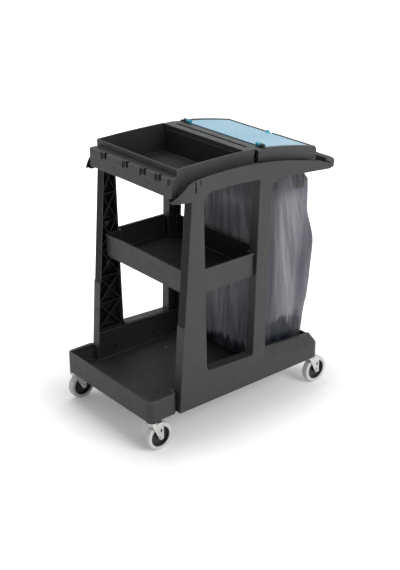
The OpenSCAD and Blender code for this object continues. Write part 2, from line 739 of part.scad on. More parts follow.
// Ledge and fascia in front of the tray, with hook notches and small holes
module hook_fascia() difference() {
    block([x_fascia, -y_in, fascia_low_z], [x_tray + eps, y_in, fascia_top_z]);
    block([x_fascia + tray_wall, -y_in + tray_wall, fascia_low_z - eps],
        [x_tray, y_in - tray_wall, fascia_top_z - tray_wall]);
    block([x_tray - eps, -y_in - eps, fascia_low_z - eps], [x_tray + 2 * eps, -y_tray, fascia_top_z + eps]);
    block([x_tray - eps, y_tray, fascia_low_z - eps], [x_tray + 2 * eps, y_in + eps, fascia_top_z + eps]);
    for (y = notch_y) {
        block([x_fascia - eps, y - notch_w / 2, fascia_top_z - notch_d + notch_w / 2],
            [x_fascia + notch_reach, y + notch_w / 2, fascia_top_z + eps]);
        translate([x_fascia - eps, y, fascia_top_z - notch_d + notch_w / 2]) rotate([0, 90, 0])
            cylinder(d = notch_w, h = notch_reach + eps);
        translate([x_fascia + hole_back, y, fascia_top_z - 2 * tray_wall])
            cylinder(d = hook_hole_d, h = 3 * tray_wall);
    }
}

module upper_tray() color([0.17, 0.18, 0.18]) difference() {
    union() {
        slab(-y_tray, y_tray) tray_side();
        hook_fascia();
        block([x_tray_rear - eps, -y_tray, strip_low_z - tray_wall],
            [x_strip_rear - tray_wall, y_tray, strip_low_z]);
        both_sides() block([x_tray_rear - eps, y_tray - tray_wall, rail_low_z + gutter_d],
            [x_strip_rear - tray_wall, y_tray, strip_low_z]);
    }
    block([x_tray + tray_wall, -y_tray + tray_wall, tray_z + tray_wall],
        [x_tray_rear - tray_wall, y_tray - tray_wall, tray_top_z + eps]);
    both_sides() for (x = tray_screw_x)
        bar_y(x, gutter_screw_z(x), screw_r + run_fit, y_tray - tray_wall - eps, y_tray + eps);
}

// Pale frame strip behind the tray
module lid_frame() color([0.5, 0.5, 0.5]) difference() {
    block([x_tray_rear - tray_wall, -y_tray, strip_low_z], [x_strip_rear, y_tray, strip_top_z]);
    block([x_tray_rear, -y_tray + tray_wall, strip_low_z - eps],
        [x_strip_rear - tray_wall, y_tray - tray_wall, strip_top_z - tray_wall]);
    block([x_strip_rear - tray_wall - strip_slot_w, -y_tray + strip_slot_inset, strip_low_z],
        [x_strip_rear - tray_wall, y_tray - strip_slot_inset, strip_top_z + eps]);
}

// Bag bay

bracket_t = 7;
bracket_r = 5.5;
function frame_screw_z(x) = (gutter_screw_z(x) + ring_top(x) - ring_t / 2) / 2;

// Side outline of the bag frame's sloping band
module ring_side() polygon([
    [x_lid, ring_top(x_lid)], [x_lid, ring_top(x_lid) - ring_t],
    [x_ring_rear, ring_top(x_ring_rear) - ring_t], [x_ring_rear, ring_top(x_ring_rear)]]);

module hinge_bracket() slab(y_tray - bracket_t, y_tray) {
    translate(lid_pivot) circle(bracket_r);
    translate([lid_pivot[0] - bracket_r, ring_top(x_lid) - ring_t / 2])
        square([2 * bracket_r, lid_pivot[1] - ring_top(x_lid) + ring_t / 2]);
}

module bag_frame() color([0.12, 0.12, 0.13]) difference() {
    union() {
        slab(-y_tray, y_tray) ring_side();
        both_sides() hinge_bracket();
    }
    block([x_mouth, -y_mouth, 0], [x_mouth_rear, y_mouth, 2 * rail_apex_z]);
    both_sides()
        bar_y(lid_pivot[0], lid_pivot[1], lid_pin_d / 2 + run_fit, y_tray - 2 * bracket_t, y_tray + eps);
    both_sides() for (x = frame_screw_x)
        bar_y(x, frame_screw_z(x), screw_r + run_fit, y_tray - frame_grip - eps, y_tray + eps);
}

// The bag, from its base to its mouth: height, front, rear, half width, tilt, depth of folds
x_bag_mid = (x_mouth + x_mouth_rear) / 2;
bag_neck = 5;
bag_front = 5;
z_bag_neck = ring_top(x_bag_mid) - ring_t;
y_bag = y_in - 14;
function bag_z(t) = lerp(z_floor, z_bag_neck, t);
function bag_ring(t, rear, slim, fold) = [
    bag_z(t), x_mouth + bag_front, x_corner + rear, y_bag - slim, 0, fold];
function neck_ring(z) = [z, x_mouth + bag_neck, x_mouth_rear - bag_neck, y_mouth - bag_neck, ring_tilt, 0];
bag_rings = [
    [z_floor + seat_gap, x_mouth + 24, x_corner - 10, y_bag - 26, 0, 0],
    bag_ring(0.025, 6, 10, fold_d / 2),
    bag_ring(0.115, 17, 3, fold_d),
    bag_ring(0.225, 26, 1, fold_d),
    bag_ring(0.3, 47, 0, fold_d),
    bag_ring(0.43, 56, 0, fold_d),
    bag_ring(0.58, 67, 0, fold_d),
    bag_ring(0.73, 26, 2, fold_d),
    bag_ring(0.89, 22, 4, fold_d / 2),
    neck_ring(z_bag_neck - 24),
    neck_ring(z_bag_neck + ring_t + 2)];
bag_n = 144;
fold_n = [26, 17];
bag_squareness = 9;
function bag_reach(a, hx, hy) = pow(pow(abs(cos(a)) / hx, bag_squareness)
    + pow(abs(sin(a)) / hy, bag_squareness), -1 / bag_squareness);
function bag_fold(ring, a) = ring[5] * ((cos(fold_n[0] * a) + cos(fold_n[1] * a)) / 4 - 0.5);
function bag_point(ring, j, d) = let (
    a = 360 * (j + 0.5) / bag_n,
    e = bag_fold(ring, a) - d,
    k = bag_reach(a, (ring[2] - ring[1]) / 2 + e, ring[3] + e),
    x = (ring[1] + ring[2]) / 2 + k * cos(a))
    [x, k * sin(a), ring[0] + ring[4] * (x - x_bag_mid)];
bag_rows = len(bag_rings);
bag_outer = [for (ring = bag_rings, j = [0 : bag_n - 1]) bag_point(ring, j, 0)];
bag_inner = [for (k = [0 : bag_rows - 1], j = [0 : bag_n - 1])
    bag_point(bag_rings[k], j, bag_t) + [0, 0, k == 0 ? bag_t : 0]];
bag_mid_points = [[x_bag_mid, 0, z_floor + seat_gap], [x_bag_mid, 0, z_floor + seat_gap + bag_t]];
bag_count = bag_rows * bag_n;
function next(j) = (j + 1) % bag_n;
function wall_faces(s, flip) = [for (k = [0 : bag_rows - 2], j = [0 : bag_n - 1], h = [0, 1]) let (
    a = s + k * bag_n + j, b = s + k * bag_n + next(j), c = b + bag_n, e = a + bag_n,
    t = h == 0 ? [a, c, b] : [a, e, c]) flip ? [t[2], t[1], t[0]] : t];
bag_faces = concat(
    wall_faces(0, false), wall_faces(bag_count, true),
    [for (j = [0 : bag_n - 1]) [2 * bag_count, j, next(j)]],
    [for (j = [0 : bag_n - 1]) [2 * bag_count + 1, bag_count + next(j), bag_count + j]],
    [for (j = [0 : bag_n - 1], h = [0, 1]) let (
        a = (bag_rows - 1) * bag_n + j, b = (bag_rows - 1) * bag_n + next(j))
        h == 0 ? [a, bag_count + a, b] : [b, bag_count + a, bag_count + b]]);

module refuse_bag() color([0.42, 0.42, 0.46])
    polyhedron(concat(bag_outer, bag_inner, bag_mid_points), bag_faces);

// Loop plates that hang at the rails' lower edges
clip_t = 3;
clip_share = 0.585;
clip_x = lerp(x_post_rear, x_tail, clip_share);
clip_frame = 5;
clip_slot_low = 21;
clip_slot_h = 32;
module bag_clips() color([0.15, 0.15, 0.16]) both_sides() slab(y_in - clip_t, y_in) difference() {
    translate([clip_x, rail_low_rear(clip_x) - clip_drop]) square([clip_w, clip_drop + panel_t]);
    translate([clip_x + clip_frame, rail_low_rear(clip_x) - clip_drop + clip_slot_low])
        square([clip_w - 2 * clip_frame, clip_slot_h]);
}

// Push handle

z_bar = rail_low_tail_z;
leg_l = 44;
x_leg_end = x_tail + 2 * eps;
leg_clear = 4;
handle_screw_x = x_ring_rear + screw_head_r + run_fit;
handle_grip = 16;

// Bar section, standing with its outer face at u = 0 and running inward
module bar_section() round_plan(-bar_w, 0, 0, bar_h, bar_edge_r);

module handle_corner() translate([x_tail, y_face - bar_bend_r, z_bar]) rotate_extrude(angle = 90)
    translate([bar_bend_r, 0]) bar_section();

module push_handle() color([0.2, 0.21, 0.21]) difference() {
    union() {
        both_sides() {
            handle_corner();
            slab(y_in, y_skin - seat_gap)
                rail_strip(leg_clear, gutter_d - seat_gap, x_tail - leg_l, x_leg_end, x_leg_end);
        }
        translate([x_handle_rear, y_face - bar_bend_r, z_bar]) rotate([90, 0, 0])
            linear_extrude(2 * (y_face - bar_bend_r)) bar_section();
    }
    both_sides() handle_screw_hole();
}

// Screw hole through the gutter's inner wall into the handle's leg
module handle_screw_hole() bar_y(handle_screw_x, gutter_screw_z(handle_screw_x), screw_r + run_fit,
    y_tray - eps, y_in + handle_grip + eps);

// Screws

module screw(l) {
    cylinder(r = screw_r, h = l);
    translate([0, 0, -screw_head_t]) cylinder(r = screw_head_r, h = screw_head_t);
}

// A screw that points outward along +Y from the plane y
module screw_out(x, y, z, l) translate([x, y, z]) rotate([-90, 0, 0]) screw(l);

// A screw that points inward along -Y from the plane y
module screw_in(x, y, z, l) translate([x, y, z]) rotate([90, 0, 0]) screw(l);

steel = [0.72, 0.72, 0.74];
panel_grip = 19;
module panel_screws() color(steel) both_sides() for (x = panel_screw_x)
    screw_out(x, y_in - base_wall, panel_screw_z, base_wall + panel_grip);
module shelf_screws() color(steel) both_sides() for (x = shelf_screw_x)
    screw_out(x, y_in - shelf_wall, shelf_screw_z, shelf_wall + panel_grip);
module tray_screws() color(steel) both_sides() for (x = tray_screw_x)
    screw_in(x, y_in, gutter_screw_z(x), panel_t + tray_wall);
module frame_screws() color(steel) both_sides() for (x = frame_screw_x)
    screw_in(x, y_in, frame_screw_z(x), panel_t + frame_grip);
module handle_screws() color(steel) both_sides()
    screw_out(handle_screw_x, y_tray, gutter_screw_z(handle_screw_x), panel_t + handle_grip);

// Lid

pin_in = 8;
module lid_hinge_pins() color(steel) both_sides()
    bar_y(lid_pivot[0], lid_pivot[1], lid_pin_d / 2, y_tray - pin_in, y_lid - run_fit);

// Lid outline seen from the side, with a round nose
module lid_side() polygon(concat(
    [[x_lid_rear, lid_low(x_lid_rear)]],
    [for (x = spread(x_lid_rear, x_lid + lid_nose_r, arc_n)) [x, lid_top(x)]],
    arc([x_lid + lid_nose_r, lid_top(x_lid + lid_nose_r) - lid_nose_r], lid_nose_r, 95, 180, bend_n),
    [[x_lid, lid_low(x_lid)]]));

cap_r = knuckle_d / 2 + 0.5;
module lid_shell() color([0.42, 0.42, 0.42]) difference() {
    slab(-y_lid, y_lid) lid_side();
    slab(-y_lid + lid_side_t, y_lid - lid_side_t) polygon(concat(
        [[x_lid - eps, 0], [x_lid_rear - lid_side_t, 0]],
        [for (x = spread(x_lid_rear - lid_side_t, x_lid - eps, arc_n)) [x, lid_top(x) - lid_t]]));
    both_sides() bar_y(lid_pivot[0], lid_pivot[1], lid_pin_d / 2 + run_fit, y_tray, y_lid + eps);
}

// Document cover

y_cap = y_cover - pin_cap_l;
y_knuckle = y_cap - run_fit;
knob_r = tab_r * 0.6;

module cover_band(xa, xb, t, up = 0) polygon(concat(
    [for (x = spread(xa, xb, arc_n)) [x, lid_top(x) + cover_lift + up]],
    [for (x = spread(xb, xa, arc_n)) [x, lid_top(x) + cover_lift + t]]));

// Domed grip on the finger tab
module tab_knob() translate([x_cover_rear, 0, lid_top(x_cover_rear) + cover_lift + cover_t]) {
    cylinder(r = knob_r, h = knob_h * 0.6);
    translate([0, 0, knob_h * 0.6]) cylinder(r1 = knob_r, r2 = knob_r * 0.5, h = knob_h * 0.4);
}

module document_cover() color([0.62, 0.8, 0.9, 0.6]) difference() {
    union() {
        slab(-y_cover, y_cover) cover_band(x_cover + knuckle_d, x_cover_rear, cover_t);
        slab(-y_knuckle, y_knuckle) cover_band(x_cover, x_cover + knuckle_d, cover_t);
        both_sides() bar_y(cover_axis[0], cover_axis[1], knuckle_d / 2, y_knuckle - knuckle_l, y_knuckle);
        intersection() {
            translate([x_cover_rear, 0, 0]) cylinder(r = tab_r, h = 2 * rail_apex_z);
            slab(-tab_r - eps, tab_r + eps)
                cover_band(x_cover_rear - tab_r - eps, x_cover_rear + tab_r + eps, 2 * cover_t, cover_t / 4);
        }
        tab_knob();
    }
    both_sides()
        bar_y(cover_axis[0], cover_axis[1], cover_pin_d / 2 + run_fit, y_knuckle - knuckle_l - eps, y_cover);
}

// Dark pin caps that stand on the lid and carry the cover's hinge pins
module cover_hinge_pins() color([0.1, 0.11, 0.12]) both_sides() {
    bar_y(cover_axis[0], cover_axis[1], cover_pin_d / 2, y_knuckle - knuckle_l / 2, y_cap + eps);
    bar_y(cover_axis[0], cover_axis[1], cap_r - cover_lift, y_cap, y_cover);
    slab(y_cap, y_cover) polygon([
        [x_cover - 4, lid_top(x_cover - 4)], [x_cover + 4, lid_top(x_cover + 4)],
        [x_cover + 4, cover_axis[1]], [x_cover - 4, cover_axis[1]]]);
}

// Casters

module at_caster(i) translate([caster_x(i), caster_y(i), 0]) children();

module caster_sockets() color([0.06, 0.06, 0.06]) for (i = [0 : 3]) at_caster(i) difference() {
    union() {
        translate([0, 0, z_flange]) cylinder(r = socket_flange_r, h = flange_t);
        translate([0, 0, z_base]) cylinder(r = socket_r, h = stem_l - flange_t);
    }
    translate([0, 0, z_flange - eps]) cylinder(r = stem_d / 2 + run_fit, h = stem_l + 2 * eps);
}

// Stem with its head plate and the kingpin that the fork turns on
module stem(i) color([0.78, 0.78, 0.76]) at_caster(i) {
    translate([0, 0, z_head]) cylinder(d = stem_d, h = head_t + stem_l);
    translate([0, 0, z_head]) cylinder(d = head_d, h = head_t);
    translate([0, 0, z_crown]) cylinder(r = king_r, h = z_head - z_crown + eps);
}

module race(i) color([0.6, 0.6, 0.6]) at_caster(i) translate([0, 0, z_race]) difference() {
    cylinder(d = head_d - 4, h = race_h + race_gap);
    translate([0, 0, -eps]) cylinder(r = king_r + 3, h = race_h + 3 * eps);
}

// Fork leg seen from the side: wide under the crown, narrow at the axle, with an oval hole
leg_hole_r = 4;
module fork_leg() difference() {
    union() {
        polygon([[-head_d / 2 + 5, z_race], [trail + axle_boss_r - 1, z_race],
            [trail + axle_boss_r, wheel_r], [trail - axle_boss_r + 1, wheel_r - 4]]);
        translate([trail, wheel_r]) circle(axle_boss_r);
    }
    for (dz = [-3, 3]) translate([trail, wheel_r + 28 + dz]) circle(leg_hole_r);
    translate([trail - leg_hole_r, wheel_r + 25]) square([2 * leg_hole_r, 6]);
    translate([trail, wheel_r]) circle(axle_d / 2 + run_fit);
}

module fork(i) color([0.82, 0.82, 0.8]) at_caster(i) {
    difference() {
        union() {
            translate([0, 0, z_crown]) cylinder(d = head_d + 2, h = crown_t);
            block([0, -fork_out, z_crown], [trail + axle_boss_r - 1, fork_out, z_race]);
        }
        translate([0, 0, z_crown - eps]) cylinder(r = king_r + run_fit, h = crown_t + 2 * eps);
    }
    both_sides() slab(fork_in, fork_out) fork_leg();
}

module axle_bolt(i) color([0.75, 0.75, 0.75]) at_caster(i) {
    bar_y(trail, wheel_r, axle_d / 2, -fork_out - nut_h, fork_out + nut_h);
    for (s = [-1, 1]) translate([trail, s * (fork_out + nut_h / 2), wheel_r]) rotate([90, 0, 0])
        cylinder(r = axle_d / 2 + 3.5, h = nut_h, center = true, $fn = 6);
}

// A turned profile about the wheel's axle
module turned(i) at_caster(i) translate([trail, 0, wheel_r]) rotate([90, 0, 0]) rotate_extrude() children();

module axle_bush(i) color([0.7, 0.7, 0.7]) turned(i)
    translate([axle_d / 2 + run_fit, -fork_in + seat_gap])
        square([bush_r - axle_d / 2 - run_fit, 2 * (fork_in - seat_gap)]);

hub_r = bush_r + 7;
web_t = 8;
rim_t = 5;
module wheel_core(i) color([0.1, 0.1, 0.1]) turned(i) {
    translate([bush_r + run_fit / 2, -tyre_w / 2]) square([hub_r - bush_r - run_fit / 2, tyre_w]);
    translate([hub_r - eps, -web_t / 2]) square([core_r - hub_r + eps, web_t]);
    translate([core_r - rim_t, -tyre_w / 2 + 2]) square([rim_t, tyre_w - 4]);
}

module tyre(i) color([0.8, 0.8, 0.8]) turned(i) difference() {
    union() {
        translate([core_r + run_fit / 2, -tyre_w / 2]) square([tyre_t - shoulder_r - run_fit / 2, tyre_w]);
        translate([core_r + run_fit / 2, -tyre_w / 2 + shoulder_r])
            square([tyre_t - run_fit / 2, tyre_w - 2 * shoulder_r]);
        for (s = [-1, 1]) translate([wheel_r - shoulder_r, s * (tyre_w / 2 - shoulder_r)]) circle(shoulder_r);
    }
    translate([core_r - tyre_t, -tyre_w]) square([tyre_t + run_fit / 2, 2 * tyre_w]);
}

base_tray();
side_panel_near();
side_panel_far();
middle_shelf();
upper_tray();
lid_frame();
bag_frame();
refuse_bag();
bag_clips();
push_handle();
panel_screws();
shelf_screws();
tray_screws();
frame_screws();
handle_screws();
lid_hinge_pins();
caster_sockets();
lid_shell();
document_cover();
cover_hinge_pins();
stem(0);  // stem_front_near
stem(1);  // stem_front_far
stem(2);  // stem_rear_near
stem(3);  // stem_rear_far
race(0);  // race_front_near
race(1);  // race_front_far
race(2);  // race_rear_near
race(3);  // race_rear_far
fork(0);  // fork_front_near
fork(1);  // fork_front_far
fork(2);  // fork_rear_near
fork(3);  // fork_rear_far
axle_bolt(0);  // axle_bolt_front_near
axle_bolt(1);  // axle_bolt_front_far
axle_bolt(2);  // axle_bolt_rear_near
axle_bolt(3);  // axle_bolt_rear_far
axle_bush(0);  // axle_bush_front_near
axle_bush(1);  // axle_bush_front_far
axle_bush(2);  // axle_bush_rear_near
axle_bush(3);  // axle_bush_rear_far
wheel_core(0);  // wheel_core_front_near
wheel_core(1);  // wheel_core_front_far
wheel_core(2);  // wheel_core_rear_near
wheel_core(3);  // wheel_core_rear_far
tyre(0);  // tyre_front_near
tyre(1);  // tyre_front_far
tyre(2);  // tyre_rear_near
tyre(3);  // tyre_rear_far
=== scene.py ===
"""Janitor cart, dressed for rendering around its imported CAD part.

Every moulding is a merged copy of its CAD node with rounded edges. The bag, the border round the
lid's cover, the lip on the tray's fascia and the finishes are made here. Sizes are in metres, in
the frame of the CAD part.
"""

import json
import logging
import math
from dataclasses import dataclass, field
from enum import Enum
from typing import Callable, Iterable, Sequence

import bmesh
import bpy
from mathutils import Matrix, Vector, noise
from mathutils.bvhtree import BVHTree


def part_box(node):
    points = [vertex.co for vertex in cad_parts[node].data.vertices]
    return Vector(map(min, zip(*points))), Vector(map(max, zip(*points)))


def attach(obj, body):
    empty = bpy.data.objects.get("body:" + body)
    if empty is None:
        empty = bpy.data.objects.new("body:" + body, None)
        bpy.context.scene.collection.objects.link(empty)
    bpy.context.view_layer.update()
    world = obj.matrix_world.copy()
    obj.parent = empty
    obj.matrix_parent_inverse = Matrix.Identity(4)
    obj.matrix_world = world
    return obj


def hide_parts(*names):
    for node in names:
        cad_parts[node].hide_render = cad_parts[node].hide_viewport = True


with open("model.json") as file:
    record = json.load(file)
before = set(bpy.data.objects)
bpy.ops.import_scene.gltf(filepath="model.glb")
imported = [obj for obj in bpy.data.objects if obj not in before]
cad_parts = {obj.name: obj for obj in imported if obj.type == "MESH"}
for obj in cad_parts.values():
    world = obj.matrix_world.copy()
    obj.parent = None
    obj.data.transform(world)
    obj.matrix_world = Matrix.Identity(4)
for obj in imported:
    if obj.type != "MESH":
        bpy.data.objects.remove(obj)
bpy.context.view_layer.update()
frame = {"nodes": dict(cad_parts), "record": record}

logging.basicConfig(level=logging.INFO, format="%(message)s")
log = logging.getLogger("janitor_cart")

Triple = tuple[float, float, float]
Span = tuple[float, float]
Object = bpy.types.Object
Material = bpy.types.Material
Socket = bpy.types.NodeSocket

WHITE: Triple = (1.0, 1.0, 1.0)


class Slot(Enum):
    """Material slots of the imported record."""

    GREY = "grey_moulding"
    PALE = "pale_moulding"
    DARK = "dark_moulding"
    BLUE = "blue_cover"
    FILM = "bag_film"
    ZINC = "zinc"
    WHEEL = "wheel_plastic"
    TYRE = "tyre_rubber"


class Corner(Enum):
    """The four casters."""

    FRONT_NEAR = "front_near"
    FRONT_FAR = "front_far"
    REAR_NEAR = "rear_near"
    REAR_FAR = "rear_far"


# Finishes


class Graph:
    """A small helper that builds one material's node tree."""

    def __init__(self, name: str) -> None:
        """Start an empty material.

        Args:
            name: Name of the new material.
        """
        self.material = bpy.data.materials.new(name)
        self.material.use_nodes = True
        self.tree = self.material.node_tree
        self.tree.nodes.clear()
        self.out = self.tree.nodes.new("ShaderNodeOutputMaterial")

    def add(self, kind: str, **values: object) -> bpy.types.Node:
        """Add a node and set its properties or sockets by name.

        Args:
            kind: Type name of the node.
            **values: Node properties, or socket values with spaces written as _.

        Returns:
            The new node.
        """
        node = self.tree.nodes.new(kind)
        for key, value in values.items():
            if hasattr(node, key):
                setattr(node, key, value)
            else:
                node.inputs[key.replace("_", " ")].default_value = value
        return node

    def link(self, a: Socket, b: Socket) -> None:
        """Link output a to input b."""
        self.tree.links.new(a, b)

    def feed(self, value: Socket | float, socket: Socket) -> None:
        """Link a value to an input, or set a plain number on it.

        Args:
            value: Output socket or number.
            socket: The input.
        """
        if isinstance(value, float):
            socket.default_value = value
        else:
            self.link(value, socket)

    def coords(self, stretch: Triple | None = None, lean: float = 0.0) -> Socket:
        """Object coordinates, which are metres in the cart's frame.

        Args:
            stretch: How much longer a pattern is along each axis.
            lean: Degrees that the pattern leans about Y.

        Returns:
            The coordinate socket.
        """
        place = self.add("ShaderNodeTexCoord").outputs["Object"]
        if stretch is None:
            return place
        turn = (0.0, math.radians(lean), 0.0)
        turned = self.add("ShaderNodeMapping", vector_type="TEXTURE", Scale=stretch, Rotation=turn)
        self.link(place, turned.inputs["Vector"])
        return turned.outputs["Vector"]

    def noise(self, at: Socket, scale: float, detail: float = 4.0, rough: float = 0.55) -> Socket:
        """A cloudy pattern.

        Args:
            at: Coordinates.
            scale: Patches per metre.
            detail: Number of octaves.
            rough: Strength of the finer octaves.

        Returns:
            The pattern's value.
        """
        node = self.add("ShaderNodeTexNoise", Scale=scale, Detail=detail, Roughness=rough)
        self.link(at, node.inputs["Vector"])
        return node.outputs["Fac"]

    def spread(self, value: Socket, span: Span, to: Span) -> Socket:
        """Map a value's range onto another one, clamped.

        Args:
            value: Input value.
            span: Input range.
            to: Output range.

        Returns:
            The mapped value.
        """
        node = self.add("ShaderNodeMapRange", From_Min=span[0], From_Max=span[1],
                        To_Min=to[0], To_Max=to[1])
        self.link(value, node.inputs["Value"])
        return node.outputs["Result"]

    def tint(self, value: Socket, stops: Sequence[tuple[float, Triple]]) -> Socket:
        """Turn a value into a colour along a ramp.

        Args:
            value: Input value.
            stops: Places and colours of the ramp, in order.

        Returns:
            The colour.
        """
        node = self.add("ShaderNodeValToRGB")
        ramp = node.color_ramp
        while len(ramp.elements) < len(stops):
            ramp.elements.new(0.5)
        for element, (place, colour) in zip(ramp.elements, stops):
            element.position = place
            element.color = (*colour, 1.0)
        self.link(value, node.inputs["Fac"])
        return node.outputs["Color"]

    def blend(self, factor: Socket | float, a: Socket, b: Socket, how: str = "MIX") -> Socket:
        """Blend two colours.

        Args:
            factor: Blend factor.
            a: Colour at 0.
            b: Colour at 1.
            how: Blend type.

        Returns:
            The blended colour.
        """
        node = self.add("ShaderNodeMix", data_type="RGBA", blend_type=how)
        self.feed(factor, node.inputs[0])
        self.link(a, node.inputs[6])
        self.link(b, node.inputs[7])
        return node.outputs[2]

    def sums(self, a: Socket, b: Socket, share: float) -> Socket:
        """Add a share of one value to another.

        Args:
            a: Value that is scaled.
            b: Value that it is added to.
            share: Scale of a.

        Returns:
            share * a + b.
        """
        node = self.add("ShaderNodeMath", operation="MULTIPLY_ADD")
        for value, socket in zip((a, share, b), node.inputs):
            self.feed(value, socket)
        return node.outputs[0]

    def maths(self, operation: str, a: Socket | float, b: Socket | float) -> Socket:
        """Work out one sum of two values.

        Args:
            operation: Kind of sum.
            a: First value.
            b: Second value.

        Returns:
            The result.
        """
        node = self.add("ShaderNodeMath", operation=operation)
        for value, socket in zip((a, b), node.inputs):
            self.feed(value, socket)
        return node.outputs[0]

    def bump(self, height: Socket, distance: float, strength: float,
             under: Socket | None = None) -> Socket:
        """Turn a height into a bumped normal.

        Args:
            height: Height from 0 to 1.
            distance: Real height of the pattern.
            strength: Strength of the effect.
            under: Normal that this one is laid over.

        Returns:
            The normal.
        """
        node = self.add("ShaderNodeBump", Distance=distance, Strength=strength)
        self.link(height, node.inputs["Height"])
        if under is not None:
            self.link(under, node.inputs["Normal"])
        return node.outputs["Normal"]

    def finish(self, shader: bpy.types.Node) -> Material:
        """Link the last shader to the output.

        Args:
            shader: The last shader node.

        Returns:
            The finished material.
        """
        self.link(shader.outputs[0], self.out.inputs["Surface"])
        return self.material


@dataclass(frozen=True)
class MouldedPlastic:
    """Injection-moulded plastic: fine spark-eroded grain, faint flow clouds and rubbed scuffs."""

    name: str
    base: Triple
    cloud: Triple
    scuff: Triple
    roughness: float = 0.5
    gloss: float = 0.45
    # Depths of the spark-eroded grain and of the waves where the plastic sank
    grain: float = 0.00014
    wave: float = 0.0012
    # Patches per metre of each pattern, and how two of them are stretched
    flow_scale: float = 8.0
    scuff_scale: float = 120.0
    rub_scale: float = 26.0
    sheen_scale: float = 34.0
    wave_scale: float = 16.0
    grain_scale: float = 1500.0
    flow_stretch: Triple = (1.0, 1.0, 2.2)
    scuff_stretch: Triple = (2.8, 1.0, 0.6)

    def build(self) -> Material:
        """Make the material.

        Returns:
            The material.
        """
        g = Graph(self.name)
        at = g.coords()
        shader = g.add("ShaderNodeBsdfPrincipled", IOR=1.46, Specular_IOR_Level=self.gloss)
        clouds = g.noise(g.coords(self.flow_stretch), self.flow_scale, detail=5.0)
        flow = g.tint(clouds, [(0.36, self.base), (0.68, self.cloud)])
        scratches = g.noise(g.coords(self.scuff_stretch), self.scuff_scale, detail=7.0, rough=0.75)
        worn = g.spread(scratches, (0.62, 0.82), (0.0, 0.6))
        rubbed = g.noise(at, self.rub_scale, detail=3.0)
        rub = g.tint(rubbed, [(0.3, self.cloud), (0.7, self.scuff)])
        g.link(g.blend(worn, flow, rub), shader.inputs["Base Color"])
        sheen = g.spread(g.noise(at, self.sheen_scale, detail=6.0, rough=0.7), (0.3, 0.75),
                         (self.roughness - 0.07, self.roughness + 0.1))
        g.link(sheen, shader.inputs["Roughness"])
        sink = g.bump(g.noise(at, self.wave_scale, detail=2.0), self.wave, strength=0.12)
        spark = g.bump(g.noise(at, self.grain_scale, detail=2.0), self.grain, strength=0.5,
                       under=sink)
        g.link(spark, shader.inputs["Normal"])
        return g.finish(shader)


@dataclass(frozen=True)
class PlatedSteel:
    """Zinc plate with a faint crystal pattern, rubbed in places."""

    name: str
    base: Triple
    cloud: Triple
    roughness: float = 0.3
    pitting: float = 0.0002
    # Crystals, rubbed patches and pits per metre
    crystal_scale: float = 190.0
    rub_scale: float = 90.0
    pit_scale: float = 420.0

    def build(self) -> Material:
        """Make the material.

        Returns:
            The material.
        """
        g = Graph(self.name)
        at = g.coords()
        shader = g.add("ShaderNodeBsdfPrincipled", Metallic=0.85)
        cell = g.add("ShaderNodeTexVoronoi", Scale=self.crystal_scale)
        g.link(at, cell.inputs["Vector"])
        plate = g.tint(cell.outputs["Distance"], [(0.0, self.base), (0.6, self.cloud)])
        g.link(plate, shader.inputs["Base Color"])
        sheen = g.spread(g.noise(at, self.rub_scale), (0.3, 0.7),
                         (self.roughness - 0.06, self.roughness + 0.14))
        g.link(sheen, shader.inputs["Roughness"])
        pits = g.bump(g.noise(at, self.pit_scale, detail=3.0), self.pitting, strength=0.25)
        g.link(pits, shader.inputs["Normal"])
        return g.finish(shader)


@dataclass(frozen=True)
class Rubber:
    """Pale non-marking rubber with faint rolling marks."""

    name: str
    base: Triple
    cloud: Triple
    roughness: Span = (0.52, 0.72)
    grain: float = 0.0002
    # Rolling marks, worn patches and grains per metre
    mark_scale: float = 55.0
    wear_scale: float = 140.0
    grain_scale: float = 900.0

    def build(self) -> Material:
        """Make the material.

        Returns:
            The material.
        """
        g = Graph(self.name)
        at = g.coords()
        shader = g.add("ShaderNodeBsdfPrincipled", IOR=1.45)
        marks = g.noise(at, self.mark_scale, detail=6.0, rough=0.65)
        rolled = g.tint(marks, [(0.35, self.base), (0.72, self.cloud)])
        g.link(rolled, shader.inputs["Base Color"])
        worn = g.spread(g.noise(at, self.wear_scale), (0.3, 0.7), self.roughness)
        g.link(worn, shader.inputs["Roughness"])
        grains = g.bump(g.noise(at, self.grain_scale), self.grain, strength=0.4)
        g.link(grains, shader.inputs["Normal"])
        return g.finish(shader)


@dataclass(frozen=True)
class ClearSheet:
    """Tinted plastic sheet with a satin surface, in the colour that it shows over the dark lid."""

    name: str
    tint: Triple
    edge: Triple
    roughness: float = 0.4
    gloss: float = 0.2
    wave: float = 0.0006
    # Clouds, satin patches and waves per metre, and how the clouds are stretched
    cloud_scale: float = 7.0
    sheen_scale: float = 60.0
    wave_scale: float = 22.0
    cloud_stretch: Triple = (2.5, 1.0, 1.0)

    def build(self) -> Material:
        """Make the material.

        Returns:
            The material.
        """
        g = Graph(self.name)
        at = g.coords()
        shader = g.add("ShaderNodeBsdfPrincipled", IOR=1.42, Specular_IOR_Level=self.gloss)
        clouds = g.noise(g.coords(self.cloud_stretch), self.cloud_scale, detail=3.0)
        g.link(g.tint(clouds, [(0.35, self.tint), (0.66, self.edge)]), shader.inputs["Base Color"])
        sheen = g.spread(g.noise(at, self.sheen_scale, detail=5.0), (0.3, 0.7),
                         (self.roughness - 0.08, self.roughness + 0.1))
        g.link(sheen, shader.inputs["Roughness"])
        waves = g.bump(g.noise(at, self.wave_scale, detail=2.0), self.wave, strength=0.12)
        g.link(waves, shader.inputs["Normal"])
        return g.finish(shader)


